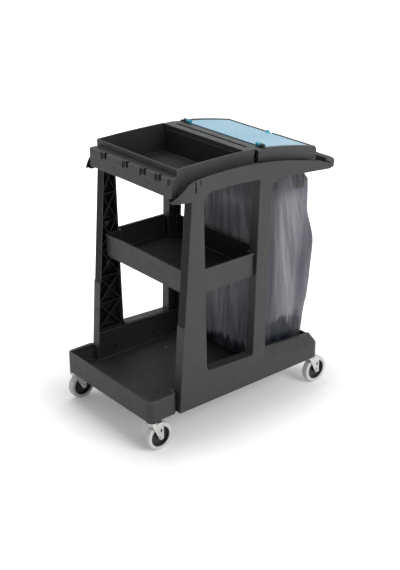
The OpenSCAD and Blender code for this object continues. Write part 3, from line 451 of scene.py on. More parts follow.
@dataclass(frozen=True)
class BagFilm:
    """Smoky film with streaks fanning down from its mouth, a darker foot, and painted light and
    shade.
    """

    name: str
    shade: Triple
    body: Triple
    streak: Triple
    foot: Triple
    gloss: float = 0.26
    # Where each face of the bag takes over from the one before it, along X, X and Y
    near_face: Span = (0.1, 0.13)
    rear_face: Span = (0.325, 0.345)
    far_face: Span = (0.19, 0.222)
    front: float = 0.1
    rear: float = 0.335
    # How far each face shifts the streaks round the bag
    near_shift: float = -0.3
    rear_shift: float = 0.06
    far_shift: float = 0.42
    # Height at which the front face's streaks would meet, and the steps to the near and rear faces'
    apex: float = 1.7
    near_apex: float = -0.56
    rear_apex: float = 0.7
    # Streaks per metre, the streaks' change with height, and the stretch and lean of upright ones
    broad_scale: float = 15.0
    slant_scale: float = 11.0
    fine_scale: float = 48.0
    climb: float = 0.1
    upright_stretch: Triple = (1.0, 1.0, 14.0)
    upright_lean: float = 3.0
    # Painted light and shade: strength of the film's tone along X, from the front face to the rear,
    # lighter on the front face and darker by the post and at the rear
    painted_light_and_shade_x: Sequence[tuple[float, Triple]] = (
        (0.105, (1.35, 1.35, 1.35)), (0.125, (0.55, 0.55, 0.58)), (0.178, (0.36, 0.36, 0.39)),
        (0.235, (0.96, 0.96, 0.96)), (0.285, (0.96, 0.96, 0.96)), (0.37, (0.5, 0.5, 0.55)))
    # Painted shadow under the rail: strength of the film's tone with height, darker at the neck
    neck: Sequence[tuple[float, Triple]] = ((0.86, WHITE), (0.91, (0.45, 0.45, 0.49)))
    # Heights between which the dark foot ends, patches per metre of it, its fringe and its clouds,
    # and how deep the last two are
    foot_top: Span = (0.312, 0.345)
    foot_scale: float = 18.0
    fringe_scale: float = 40.0
    cloud_scale: float = 9.0
    fringe_depth: float = 0.14
    cloud_depth: float = 0.12
    # How far the foot rises from the front face to the near one, and the X where it does
    foot_rise: Span = (0.0, 0.12)
    foot_turn: Span = (0.1, 0.15)

    def fan(self, g: Graph, x: Socket, y: Socket, z: Socket) -> Socket:
        """Coordinates whose first axis goes round the bag and narrows upwards.

        Args:
            g: The material's nodes.
            x: Place along X.
            y: Place along Y.
            z: Height.

        Returns:
            The coordinate socket.
        """
        near = g.spread(x, self.near_face, (0.0, 1.0))
        rear = g.spread(x, self.rear_face, (0.0, 1.0))
        far = g.spread(y, self.far_face, (0.0, 1.0))
        girth = g.maths("SUBTRACT", g.maths("MINIMUM", x, self.rear), y)
        along = g.sums(near, g.maths("SUBTRACT", girth, self.front), self.near_shift)
        along = g.sums(far, g.sums(rear, along, self.rear_shift), self.far_shift)
        drop = g.sums(near, g.maths("SUBTRACT", self.apex, z), self.near_apex)
        drop = g.sums(rear, drop, self.rear_apex)
        at = g.add("ShaderNodeCombineXYZ")
        g.link(g.maths("DIVIDE", along, drop), at.inputs["X"])
        g.link(g.maths("MULTIPLY", z, self.climb), at.inputs["Y"])
        return at.outputs[0]

    def build(self) -> Material:
        """Make the material.

        Returns:
            The material.
        """
        g = Graph(self.name)
        at = g.coords()
        place = g.add("ShaderNodeSeparateXYZ")
        g.link(at, place.inputs[0])
        x, y, z = (place.outputs[axis] for axis in "XYZ")
        fan = self.fan(g, x, y, z)
        upright = g.coords(self.upright_stretch, self.upright_lean)
        shader = g.add("ShaderNodeBsdfPrincipled", IOR=1.48, Specular_IOR_Level=self.gloss)
        broad = g.noise(upright, self.broad_scale, detail=2.0, rough=0.4)
        slant = g.noise(fan, self.slant_scale, detail=2.0, rough=0.45)
        fine = g.noise(fan, self.fine_scale, detail=3.0, rough=0.55)
        folds = g.sums(fine, g.sums(slant, g.maths("MULTIPLY", broad, 0.6), 0.8), 0.5)
        film = g.tint(g.spread(folds, (0.64, 1.26), (0.0, 1.0)),
                      [(0.12, self.shade), (0.5, self.body), (0.92, self.streak)])
        # Painted light and shade along X, then a painted shadow under the rail at the top
        film = g.blend(1.0, film, g.tint(x, self.painted_light_and_shade_x), "MULTIPLY")
        film = g.blend(1.0, film, g.tint(g.sums(slant, z, 0.1), self.neck), "MULTIPLY")
        fringe = g.maths("SUBTRACT", z, g.spread(x, self.foot_turn, self.foot_rise))
        ragged = g.noise(upright, self.fringe_scale, detail=3.0, rough=0.65)
        fringe = g.sums(ragged, fringe, self.fringe_depth)
        fringe = g.sums(g.noise(at, self.cloud_scale, detail=2.0), fringe, self.cloud_depth)
        # Darker towards the foot, up to a ragged edge
        low = g.spread(fringe, self.foot_top, (1.0, 0.0))
        foot_tone = g.noise(upright, self.foot_scale, detail=3.0)
        foot = g.tint(foot_tone, [(0.45, self.foot), (1.0, self.shade)])
        g.link(g.blend(low, film, foot), shader.inputs["Base Color"])
        g.link(g.spread(fine, (0.3, 0.7), (0.34, 0.5)), shader.inputs["Roughness"])
        creases = g.bump(fine, distance=0.002, strength=0.3)
        g.link(g.bump(slant, distance=0.01, strength=0.4, under=creases), shader.inputs["Normal"])
        return g.finish(shader)


class Palette:
    """All finishes of the cart, built once."""

    def __init__(self) -> None:
        """Build every material."""
        self.grey = MouldedPlastic(
            "grey_plastic", (0.0205, 0.0219, 0.0214), (0.0253, 0.0271, 0.0263),
            (0.043, 0.045, 0.044), roughness=0.52, gloss=0.38).build()
        # Painted highlight: lighter grey on the rounded edges, whose lower roughness is real gloss
        self.edge = MouldedPlastic(
            "painted_highlight_edge_plastic", (0.036, 0.038, 0.037), (0.046, 0.048, 0.047),
            (0.07, 0.072, 0.071), roughness=0.36, gloss=0.5).build()
        # Painted shade: darker grey for the shelf's insides and the panels' ribbed hollows
        self.inner = MouldedPlastic(
            "painted_shade_inner_plastic", (0.006, 0.0064, 0.0062), (0.008, 0.0085, 0.0083),
            (0.014, 0.014, 0.014), roughness=0.64, gloss=0.2).build()
        # Painted shade: darker grey for the insides of the tub's side walls and the tray
        self.well_painted_shade = MouldedPlastic(
            "painted_shade_well_plastic", (0.0125, 0.013, 0.0128), (0.0155, 0.016, 0.0158),
            (0.024, 0.024, 0.024), roughness=0.6, gloss=0.25).build()
        self.pale = MouldedPlastic(
            "lid_plastic", (0.02, 0.0205, 0.0205), (0.0255, 0.026, 0.026),
            (0.044, 0.045, 0.044), roughness=0.46, gloss=0.42).build()
        self.dark = MouldedPlastic(
            "dark_plastic", (0.01, 0.01, 0.011), (0.015, 0.015, 0.016),
            (0.026, 0.026, 0.026)).build()
        self.wheel = MouldedPlastic(
            "wheel_plastic", (0.011, 0.011, 0.011), (0.016, 0.016, 0.016),
            (0.028, 0.028, 0.028), roughness=0.42).build()
        self.zinc = PlatedSteel("zinc_plate", (0.66, 0.65, 0.63), (0.53, 0.53, 0.52)).build()
        self.black_steel = PlatedSteel(
            "blackened_steel", (0.03, 0.03, 0.031), (0.02, 0.02, 0.02), roughness=0.42).build()
        self.tyre = Rubber("tyre_rubber", (0.56, 0.56, 0.55), (0.48, 0.48, 0.47)).build()
        self.blue = ClearSheet("blue_clear", (0.235, 0.42, 0.53), (0.29, 0.455, 0.555)).build()
        self.cyan = ClearSheet(
            "cyan_clear", (0.02, 0.24, 0.38), (0.04, 0.3, 0.45), roughness=0.24, gloss=0.5).build()
        self.film = BagFilm(
            "bag_film", (0.07, 0.071, 0.085), (0.135, 0.135, 0.153), (0.27, 0.27, 0.285),
            (0.005, 0.0065, 0.011)).build()


# Modelling helpers


def deselect() -> None:
    """Deselect every object."""
    bpy.ops.object.select_all(action="DESELECT")


def select_only(obj: Object) -> None:
    """Make obj the only selected and active object."""
    deselect()
    obj.select_set(True)
    bpy.context.view_layer.objects.active = obj


def edit_all() -> None:
    """Enter edit mode with the whole mesh selected."""
    bpy.ops.object.mode_set(mode="EDIT")
    bpy.ops.mesh.select_all(action="SELECT")


def end_edit() -> None:
    """Leave edit mode."""
    bpy.ops.object.mode_set(mode="OBJECT")


def pick_edges(obj: Object, wanted: Callable[[bmesh.types.BMEdge], bool]) -> None:
    """Select only the wanted edges of a mesh in edit mode.

    Args:
        obj: The object, in edit mode.
        wanted: Test that says whether an edge is wanted.
    """
    bpy.ops.mesh.select_mode(type="EDGE")
    bpy.ops.mesh.select_all(action="DESELECT")
    mesh = bmesh.from_edit_mesh(obj.data)
    for edge in mesh.edges:
        edge.select_set(wanted(edge))
    bmesh.update_edit_mesh(obj.data)


def apply_all(obj: Object) -> None:
    """Apply every modifier of obj."""
    select_only(obj)
    for modifier in list(obj.modifiers):
        bpy.ops.object.modifier_apply(modifier=modifier.name)


def apply_place() -> None:
    """Put the selected objects' place, turn and scale into their meshes."""
    bpy.ops.object.transform_apply(location=True, rotation=True, scale=True)


def thicken(obj: Object, thickness: float) -> None:
    """Give a sheet its thickness, inwards from its outer face.

    Args:
        obj: The sheet.
        thickness: Thickness of the wall.
    """
    wall = obj.modifiers.new("wall", "SOLIDIFY")
    wall.thickness = thickness
    wall.offset = -1.0
    apply_all(obj)


def skin_of(obj: Object) -> BVHTree:
    """Return a search tree of obj's faces."""
    points = [vertex.co for vertex in obj.data.vertices]
    return BVHTree.FromPolygons(points, [face.vertices for face in obj.data.polygons])


def paint(obj: Object, *materials: Material) -> None:
    """Give an object its materials, the first one all over.

    Args:
        obj: The object.
        *materials: The materials of its slots.
    """
    obj.data.materials.clear()
    for material in materials:
        obj.data.materials.append(material)


def body_of_node(node: str) -> str:
    """Find which body a CAD node belongs to.

    Args:
        node: Name of the node.

    Returns:
        Name of its body.
    """
    for body, nodes in frame["record"]["behaviour"]["bodies"].items():
        if node in nodes:
            return body
    raise KeyError(node)


def settle(obj: Object, node: str) -> None:
    """Freeze a piece's place, hang it on its body's empty and hide the CAD node that it stands for.

    Args:
        obj: The piece.
        node: CAD node that it stands for.
    """
    select_only(obj)
    apply_place()
    body = body_of_node(node)
    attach(obj, body)
    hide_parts(node)
    log.info("piece %s on %s: %d faces", obj.name, body, len(obj.data.polygons))


def finish_node(node: str, material: Material) -> None:
    """Give a CAD node that stays in view its finish.

    Args:
        node: Name of the node.
        material: The finish.
    """
    paint(frame["nodes"][node], material)
    log.info("finish %s: %s", node, material.name)


@dataclass(frozen=True)
class Zone:
    """A space in a moulding, for picking the faces or edges that lie in it."""

    low: Triple
    high: Triple
    facing: Triple | None = None
    whole: bool = False
    # Cosine above which a face looks the zone's way
    facing_share: float = 0.4

    def holds(self, point: Vector) -> bool:
        """Whether a point lies in the zone."""
        return all(a <= v <= b for a, v, b in zip(self.low, point, self.high))

    def takes(self, centre: Vector, normal: Vector, corners: Sequence[Vector]) -> bool:
        """Whether a face belongs to the zone.

        Args:
            centre: Its centre.
            normal: Its normal.
            corners: Its corners, which all count where the zone takes whole faces only.

        Returns:
            True if it does.
        """
        inside = all(self.holds(c) for c in corners) if self.whole else self.holds(centre)
        if self.facing is None:
            return inside
        return inside and normal.dot(Vector(self.facing)) > self.facing_share


@dataclass
class Moulding:
    """A CAD node's merged copy with rounded edges."""

    node: str
    slot: Slot
    bevel: float = 0.001
    segments: int = 2
    weld: float = 0.0002
    broad: float = 0.0
    broad_at: Sequence[Zone] = ()
    broad_not: Sequence[Zone] = ()
    broad_segments: int = 4
    # Zones for the second material: painted shade on the grey mouldings, deeper blue on the cover
    inner: Sequence[Zone] = ()
    added: Callable[[Object], Object] | None = None
    edge_slot: int = 2
    # Angles: same plane for quads and for united faces, skew of a quad, sharp edges, smooth shading
    plane: float = math.radians(0.4)
    united_plane: float = math.radians(0.3)
    skew: float = math.radians(60)
    sharp: float = math.radians(32)
    outline_sharp: float = math.radians(40)
    smooth: float = math.radians(40)
    # Share of the radius that a rounded point may lie off the skin, and flat faces' normal weight
    stray: float = 0.75
    flat_weight: int = 80

    def copy(self) -> Object:
        """Copy the CAD node's mesh and merge its loose triangles.

        Returns:
            The copy.
        """
        obj = frame["nodes"][self.node].copy()
        obj.data = obj.data.copy()
        obj.name = f"{self.node}_moulded"
        obj.parent = None
        obj.matrix_world.identity()
        bpy.context.scene.collection.objects.link(obj)
        obj.hide_render = False
        select_only(obj)
        bpy.ops.mesh.customdata_custom_splitnormals_clear()
        edit_all()
        bpy.ops.mesh.remove_doubles(threshold=self.weld)
        bpy.ops.mesh.tris_convert_to_quads(face_threshold=self.plane, shape_threshold=self.skew)
        bpy.ops.mesh.normals_make_consistent(inside=False)
        end_edit()
        return obj

    def weld_on(self, obj: Object) -> None:
        """Unite the copy with the form that is added to it.

        Args:
            obj: The copy.
        """
        form = self.added(obj)
        joint = obj.modifiers.new("unite", "BOOLEAN")
        joint.operation = "UNION"
        joint.solver = "EXACT"
        joint.object = form
        apply_all(obj)
        bpy.data.objects.remove(form, do_unlink=True)
        edit_all()
        bpy.ops.mesh.remove_doubles(threshold=self.weld)
        bpy.ops.mesh.dissolve_limited(angle_limit=self.united_plane)
        end_edit()

    def outlined(self, edge: bmesh.types.BMEdge) -> bool:
        """Whether an edge is a sharp one of the chosen outline.

        Args:
            edge: The edge.

        Returns:
            True if it is.
        """
        ends = [vertex.co for vertex in edge.verts]
        chosen = any(all(zone.holds(end) for end in ends) for zone in self.broad_at)
        barred = any(all(zone.holds(end) for end in ends) for zone in self.broad_not)
        sharp = len(edge.link_faces) == 2 and edge.calc_face_angle() > self.outline_sharp
        return chosen and sharp and not barred

    def round_broad(self, obj: Object) -> None:
        """Round the chosen outline edges with a larger radius.

        Args:
            obj: The copy.
        """
        select_only(obj)
        bpy.ops.object.mode_set(mode="EDIT")
        pick_edges(obj, self.outlined)
        bpy.ops.mesh.bevel(offset=self.broad, segments=self.broad_segments, profile=0.5,
                           affect="EDGES", loop_slide=False)
        end_edit()

    def round_rest(self, obj: Object) -> None:
        """Round every other sharp edge, and weigh the normals so that flat faces stay flat.

        Args:
            obj: The copy.
        """
        rounder = obj.modifiers.new("round", "BEVEL")
        rounder.width = self.bevel
        rounder.segments = self.segments
        rounder.limit_method = "ANGLE"
        rounder.angle_limit = self.sharp
        rounder.use_clamp_overlap = False
        rounder.loop_slide = False
        # The rounded edges take the edge slot; a lighter grey there is a painted highlight
        rounder.material = self.edge_slot
        apply_all(obj)
        bpy.ops.object.shade_smooth_by_angle(angle=self.smooth)
        weigh = obj.modifiers.new("weigh", "WEIGHTED_NORMAL")
        weigh.keep_sharp = True
        weigh.weight = self.flat_weight
        apply_all(obj)

    def tame(self, obj: Object, skin: BVHTree) -> None:
        """Pull back points that the rounding threw off the moulding's own skin.

        Args:
            obj: The rounded copy.
            skin: The copy's skin before rounding.
        """
        reach = self.stray * max(self.bevel, self.broad)
        for vertex in obj.data.vertices:
            place, _, _, gap = skin.find_nearest(vertex.co)
            if gap > reach:
                vertex.co = place

    def sort_faces(self, obj: Object) -> None:
        """Give the faces in the inner zones the second material, but not the rounded edges.

        Args:
            obj: The rounded copy.
        """
        points = obj.data.vertices
        for face in obj.data.polygons:
            if face.material_index == self.edge_slot:
                continue
            corners = [points[i].co for i in face.vertices]
            # Painted shade on the grey mouldings, a deeper blue on the cover
            face.material_index = int(any(
                zone.takes(face.center, face.normal, corners) for zone in self.inner))

    def build(self, material: Material, inside: Material | None = None,
              edge: Material | None = None) -> None:
        """Make the piece and put it in its node's place.

        Args:
            material: Finish of the piece.
            inside: Finish of the faces in the inner zones, painted shade on the grey mouldings.
            edge: Finish of the rounded edges; a lighter grey there is a painted highlight.
        """
        obj = self.copy()
        paint(obj, material, inside or material, edge or material)
        if self.added:
            self.weld_on(obj)
        skin = skin_of(obj)
        if self.broad:
            self.round_broad(obj)
        self.round_rest(obj)
        self.tame(obj, skin)
        self.sort_faces(obj)
        settle(obj, self.node)


# Sub-assemblies


@dataclass
class Frame:
    """The fixed mouldings: tub, side panels, shelf, tray, strip, handle, bag frame and clips."""

    # Side panels: distances of the outer face and the ribbed hollow's back from the middle plane
    face: float = 0.281
    skin: float = 0.277
    edge_radius: float = 0.003
    # Insides of the tub's side walls, the shelf and the tray, which get painted shade
    tub_low: Triple = (-0.325, 0.2, 0.143)
    tub_high: Triple = (0.376, 0.2355, 0.3)
    shelf_inside: Zone = Zone((-0.2655, -0.2625, 0.58), (0.0765, 0.2625, 0.6665))
    tray_inside: Zone = Zone((-0.2935, -0.2325, 0.9435), (0.0145, 0.2325, 1.0535))
    # Lip along the fascia: the notches' places, room beside them, and its section from the ledge
    notches: Sequence[float] = (0.141, 0.01, -0.093, -0.178)
    ledge_drop: float = 0.032
    lip_room: float = 0.019
    lip_end: float = 0.012
    lip_x: Span = (-0.009, 0.007)
    lip_z: Span = (-0.027, 0.0025)
    blackened: Sequence[str] = (
        "panel_screws", "shelf_screws", "tray_screws", "frame_screws", "handle_screws",
        "lid_hinge_pins")

    @staticmethod
    def across(sign: float, xs: Span, ys: Span, zs: Span, facing: Triple | None = None) -> Zone:
        """A zone given by distances from the middle plane, on one side of it.

        Args:
            sign: -1 for the near side, 1 for the far side.
            xs: Range along X.
            ys: Range of distances from the middle plane.
            zs: Range of heights.
            facing: Direction that its faces look in.

        Returns:
            The zone.
        """
        y0, y1 = sorted(sign * y for y in ys)
        return Zone((xs[0], y0, zs[0]), (xs[1], y1, zs[1]), facing)

    def lips(self) -> Object:
        """Make the lip along the fascia, in five lengths with the hook notches between them.

        Returns:
            The lip's blocks, as one object.
        """
        low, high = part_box("upper_tray")
        ledge = high[2] - self.ledge_drop
        starts = [high[1] - self.lip_end, *(y - self.lip_room for y in self.notches)]
        stops = [*(y + self.lip_room for y in self.notches), low[1] + self.lip_end]
        blocks = []
        for start, stop in zip(starts, stops):
            ends = [Vector((low[0] + x, y, ledge + z))
                    for x, y, z in zip(self.lip_x, (stop, start), self.lip_z)]
            bpy.ops.mesh.primitive_cube_add(size=1.0, location=(ends[0] + ends[1]) / 2)
            blocks.append(bpy.context.object)
            blocks[-1].scale = ends[1] - ends[0]
        select_only(blocks[0])
        for block in blocks:
            block.select_set(True)
        apply_place()
        bpy.ops.object.join()
        return bpy.context.object

    def panel(self, side: str) -> Moulding:
        """One side panel, with its outer outline rounded and painted shade in its ribbed hollow.

        Args:
            side: near or far.

        Returns:
            The moulding.
        """
        sign = -1.0 if side == "near" else 1.0
        face, skin = self.face, self.skin
        column = (0.26, 0.95)
        outline = self.across(sign, (-0.5, 0.5), (face - 0.0005, face + 0.0005), (0.1, 1.1))
        nose = self.across(sign, (-0.25, -0.2), (0.27, 0.29), (0.95, 1.0115))
        back = self.across(sign, (-0.34, -0.19), (skin - 0.002, skin + 0.001), column,
                           (0.0, -sign, 0.0))
        ribs = self.across(sign, (-0.315, -0.205), (0.245, skin - 0.001), column)
        return Moulding(f"side_panel_{side}", Slot.GREY, broad=self.edge_radius,
                        broad_at=[outline], broad_not=[nose], inner=[back, ribs])

    def tub(self) -> Moulding:
        """The tub, with painted shade on the insides of its side walls.

        Returns:
            The moulding.
        """
        walls = [self.across(sign, *zip(self.tub_low, self.tub_high), (0.0, -sign, 0.0))
                 for sign in (1.0, -1.0)]
        return Moulding("base_tray", Slot.GREY, bevel=0.0018, segments=3, inner=walls)

    def build(self, palette: Palette) -> None:
        """Build every fixed moulding.

        Args:
            palette: The finishes.
        """
        # The insides get painted shade and the rounded edges a painted highlight
        grey, edge = palette.grey, palette.edge
        self.tub().build(grey, palette.well_painted_shade, edge)
        for side in ("near", "far"):
            self.panel(side).build(grey, palette.inner, edge)
        Moulding("middle_shelf", Slot.GREY, bevel=0.0015, segments=3,
                 inner=[self.shelf_inside]).build(grey, palette.inner, edge)
        Moulding("upper_tray", Slot.GREY, bevel=0.0015, segments=3, inner=[self.tray_inside],
                 added=lambda _: self.lips()).build(grey, palette.well_painted_shade, edge)
        Moulding("push_handle", Slot.GREY).build(grey, edge=edge)
        Moulding("lid_frame", Slot.PALE, bevel=0.0015, segments=3).build(palette.pale, edge=edge)
        Moulding("bag_frame", Slot.DARK, bevel=0.0018).build(palette.dark)
        Moulding("bag_clips", Slot.DARK, bevel=0.0007).build(grey)
        for node in self.blackened:
            finish_node(node, palette.black_steel)
        finish_node("caster_sockets", palette.dark)


@dataclass
class Lid:
    """The sloping lid with the blue document cover on it."""

    # Cover: ends of its knuckles, a width past its sides, its finger tab, and slack round them
    knuckle_rear: float = 0.1205
    knuckle_in: float = 0.17
    beyond: float = 0.3
    tab_front: float = 0.006
    tab_half: float = 0.014
    slack: float = 0.001
    # Border round the cover: its rise and sink, its distances from the lid's edge, the cover and
    # the tab, its steps along the lid, and a height over the lid to measure it from
    border_rise: float = 0.0055
    border_sink: float = 0.001
    border_edge: float = 0.003
    border_gap: float = 0.005
    border_room: float = 0.018
    border_steps: int = 20
    above: float = 2.0

    def border(self, lid: Object) -> Object:
        """Make the raised border round the cover, which is open in front and at the tab.

        Args:
            lid: The lid's copy, whose top it follows.

        Returns:
            The border, a closed strip.
        """
        _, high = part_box("lid_shell")
        cover_low, cover_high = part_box("document_cover")
        out, near = high[1] - self.border_edge, cover_high[1] + self.border_gap
        front, turn = cover_low[0], cover_high[0] - self.tab_half + self.border_gap
        count = self.border_steps
        steps = [front + (turn - front) * i / count for i in range(count + 1)]
        xs = [*steps, high[0] - self.border_edge]
        ys = [-out, -near, -self.border_room, self.border_room, near, out]
        deselect()
        bpy.ops.mesh.primitive_grid_add(x_subdivisions=len(xs) - 1, y_subdivisions=len(ys) - 1,
                                        size=1.0)
        strip = bpy.context.object
        points = strip.data.vertices
        columns, rows = (sorted({round(v.co[axis], 5) for v in points}) for axis in (0, 1))
        skin = skin_of(lid)
        for point in points:
            x = xs[columns.index(round(point.co.x, 5))]
            y = ys[rows.index(round(point.co.y, 5))]
            top = skin.ray_cast(Vector((x, y, self.above)), Vector((0.0, 0.0, -1.0)))[0]
            point.co = (x, y, top.z + self.border_rise)
        bpy.ops.object.mode_set(mode="EDIT")
        bpy.ops.mesh.select_mode(type="FACE")
        mesh = bmesh.from_edit_mesh(strip.data)
        for face in mesh.faces:
            centre = face.calc_center_median()
            inside = centre.x < turn and abs(centre.y) < near
            face.select_set(inside or abs(centre.y) < self.border_room)
        bmesh.update_edit_mesh(strip.data)
        bpy.ops.mesh.delete(type="FACE")
        end_edit()
        thicken(strip, self.border_rise + self.border_sink)
        return strip

    def coloured(self) -> list[Zone]:
        """The cover's knuckles and finger tab, which are a deeper blue.

        Returns:
            Their zones.
        """
        low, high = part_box("document_cover")
        front, roof = low[0] - self.slack, high[2] + self.slack
        sides = ((-self.beyond, -self.knuckle_in), (self.knuckle_in, self.beyond))
        knuckles = [Zone((front, y0, low[2]), (self.knuckle_rear, y1, roof)) for y0, y1 in sides]
        half = self.tab_half
        tab = Zone((high[0] - 2 * half - self.tab_front, -half, low[2] - self.slack),
                   (high[0] + self.slack, half, high[2]), whole=True)
        return [*knuckles, tab]

    def build(self, palette: Palette) -> None:
        """Build the lid, the cover and the pin caps.

        Args:
            palette: The finishes.
        """
        # The lid's rounded edges get the painted highlight
        Moulding("lid_shell", Slot.PALE, bevel=0.0012, segments=3, added=self.border).build(
            palette.pale, edge=palette.edge)
        Moulding("cover_hinge_pins", Slot.DARK, bevel=0.0007).build(palette.dark)
        Moulding("document_cover", Slot.BLUE, bevel=0.0006, inner=self.coloured()).build(
            palette.blue, palette.cyan, palette.cyan)


@dataclass(frozen=True)
class Ring:
    """One level of the bag: height, front, rear, half width, tilt and depth of folds."""

    z: float
    front: float
    rear: float
    half: float
    tilt: float = 0.0
    fold: float = 0.007


@dataclass
class Bag:
    """The refuse bag: a film shell that hangs from its ring, bellies out and stands on the tub."""

    # Film: its points round and up, thickness, seam, foot, smooth shading and size when cut
    around: int = 288
    up: int = 132
    film: float = 0.0006
    seam: float = 0.00002
    foot_slack: float = 0.0003
    foot_inset: float = 0.04
    smooth: float = math.radians(70)
    cut: Span = (1.46, 0.88)
    # Section: how square its corners are, and the X that a level tilts about
    squareness: float = 9.0
    middle: float = 0.223
    # Folds: two counts round the bag, how far each follows their wander, and the wander itself
    folds: tuple[int, int] = (26, 17)
    drifts: Span = (0.12, -0.15)
    wander: float = 0.35
    wander_scale: Span = (1.6, 1.8)
    # Crumpling: its depth, the depth of folds from which it is full, its lumps and its creases
    crumple: float = 0.0026
    crumple_from: float = 0.0035
    lump_scale: Span = (7.0, 6.0)
    lump_start: float = 3.0
    lump_share: float = 0.55
    crease_scale: Span = (14.0, 8.0)
    crease_lean: float = 3.0
    crease_share: float = 0.45
    # Reach over which levels are eased, the neck where that ends, and how slowly it sets in
    ease: float = 0.028
    neck: float = 0.88
    onset: float = 0.1
    levels: list[Ring] = field(default_factory=lambda: [
        Ring(0.1416, 0.120, 0.346, 0.200, fold=0.0),
        Ring(0.1615, 0.101, 0.362, 0.216, fold=0.0035),
        Ring(0.2354, 0.101, 0.373, 0.223),
        Ring(0.3257, 0.101, 0.382, 0.225),
        Ring(0.3873, 0.101, 0.403, 0.226),
        Ring(0.4940, 0.101, 0.412, 0.226),
        Ring(0.6172, 0.101, 0.423, 0.226),
        Ring(0.7404, 0.101, 0.382, 0.224),
        Ring(0.8718, 0.101, 0.378, 0.222, fold=0.0035),
        Ring(0.9381, 0.101, 0.345, 0.209, -0.1588, 0.0012),
        Ring(0.9781, 0.101, 0.345, 0.209, -0.1588, 0.0008),
    ])

    def ring_at(self, t: float) -> Ring:
        """A level between the listed ones.

        Args:
            t: Way up, from base (0) to mouth (1).

        Returns:
            The blended level.
        """
        z = self.levels[0].z + t * (self.levels[-1].z - self.levels[0].z)
        for a, b in zip(self.levels, self.levels[1:]):
            if z <= b.z or b is self.levels[-1]:
                s = min((z - a.z) / (b.z - a.z), 1.0)
                return Ring(*[x + (y - x) * s for x, y in zip(vars(a).values(), vars(b).values())])
        return self.levels[-1]

    def soft_ring(self, t: float) -> Ring:
        """A level with the bends of the listed ones eased, but not at the foot and the neck.

        Args:
            t: Way up, from base (0) to mouth (1).

        Returns:
            The eased level.
        """
        below_neck = min(max((self.neck - t) / self.onset, 0.0), 1.0)
        reach = self.ease * below_neck * min(t / self.onset, 1.0)
        here = self.ring_at(t)
        near = [self.ring_at(t + reach * k) for k in (-1.0, -0.5, 0.0, 0.5, 1.0)]
        front, rear, half = (sum(getattr(ring, name) for ring in near) / len(near)
                             for name in ("front", "rear", "half"))
        return Ring(here.z, front, rear, half, here.tilt, here.fold)

    def push(self, angle: float, t: float, fold: float) -> float:
        """How far the folds and the crumpling move the film.

        Args:
            angle: Way round, in radians.
            t: Way up, 0 to 1.
            fold: Depth of folds at this level.

        Returns:
            The distance outwards, below 0 where the film is drawn in.
        """
        c, s = math.cos(angle), math.sin(angle)
        wide, high = self.wander_scale
        drift = self.wander * noise.noise(Vector((c * wide, s * wide, t * high)))
        waves = [math.cos(n * (angle + k * drift)) for n, k in zip(self.folds, self.drifts)]
        pleat = sum(waves) / 4 - 0.5
        wide, high = self.lump_scale
        lump = 0.5 + 0.5 * noise.noise(Vector((c * wide, s * wide, t * high + self.lump_start)))
        wide, high = self.crease_scale
        crease = noise.turbulence(
            Vector((c * wide + t * self.crease_lean, s * wide, t * high)), 3, False)
        depth = self.crumple * min(fold / self.crumple_from, 1.0)
        return fold * pleat - depth * (self.lump_share * lump + self.crease_share * crease)

    def point(self, u: float, t: float) -> Vector:
        """A point of the film.

        Args:
            u: Way round, 0 to 1.
            t: Way up, 0 to 1.

        Returns:
            The point.
        """
        ring = self.soft_ring(t)
        angle = 2 * math.pi * u
        c, s = math.cos(angle), math.sin(angle)
        push = self.push(angle, t, ring.fold)
        hx, hy = (ring.rear - ring.front) / 2 + push, ring.half + push
        n = self.squareness
        reach = ((abs(c) / hx) ** n + (abs(s) / hy) ** n) ** (-1 / n)
        x = (ring.front + ring.rear) / 2 + reach * c
        return Vector((x, reach * s, ring.z + ring.tilt * (x - self.middle)))

    def build(self, palette: Palette) -> None:
        """Loft the film from a grid, close its seam and foot, and give it thickness.

        Args:
            palette: The finishes.
        """
        deselect()
        bpy.ops.mesh.primitive_grid_add(x_subdivisions=self.around, y_subdivisions=self.up,
                                        size=1.0)
        bag = bpy.context.object
        bag.name = "refuse_bag_film"
        for vertex in bag.data.vertices:
            vertex.co = self.point(vertex.co.x + 0.5, vertex.co.y + 0.5)
        lowest = self.levels[0].z + self.foot_slack
        edit_all()
        bpy.ops.mesh.remove_doubles(threshold=self.seam)
        pick_edges(bag, lambda edge: all(vertex.co.z < lowest for vertex in edge.verts))
        bpy.ops.mesh.edge_face_add()
        bpy.ops.mesh.inset(thickness=self.foot_inset)
        bpy.ops.mesh.select_all(action="SELECT")
        bpy.ops.mesh.normals_make_consistent(inside=False)
        end_edit()
        thicken(bag, self.film)
        bpy.ops.object.shade_smooth_by_angle(angle=self.smooth)
        paint(bag, palette.film)
        settle(bag, "refuse_bag")


@dataclass
class Casters:
    """Four swivel casters: plated forks, dark wheel centres and pale tyres."""

    weld: float = 0.0001
    metal: Sequence[str] = ("stem", "race", "axle_bolt", "axle_bush")

    def build(self, palette: Palette) -> None:
        """Round the forks and wheels, and finish the small metal parts.

        Args:
            palette: The finishes.
        """
        for corner in Corner:
            name, weld = corner.value, self.weld
            Moulding(f"fork_{name}", Slot.ZINC, bevel=0.0006, weld=weld).build(palette.zinc)
            Moulding(f"wheel_core_{name}", Slot.WHEEL, bevel=0.0008, weld=weld).build(palette.wheel)
            Moulding(f"tyre_{name}", Slot.TYRE, bevel=0.0012, segments=3, weld=weld).build(
                palette.tyre)
            for node in self.metal:
                finish_node(f"{node}_{name}", palette.zinc)


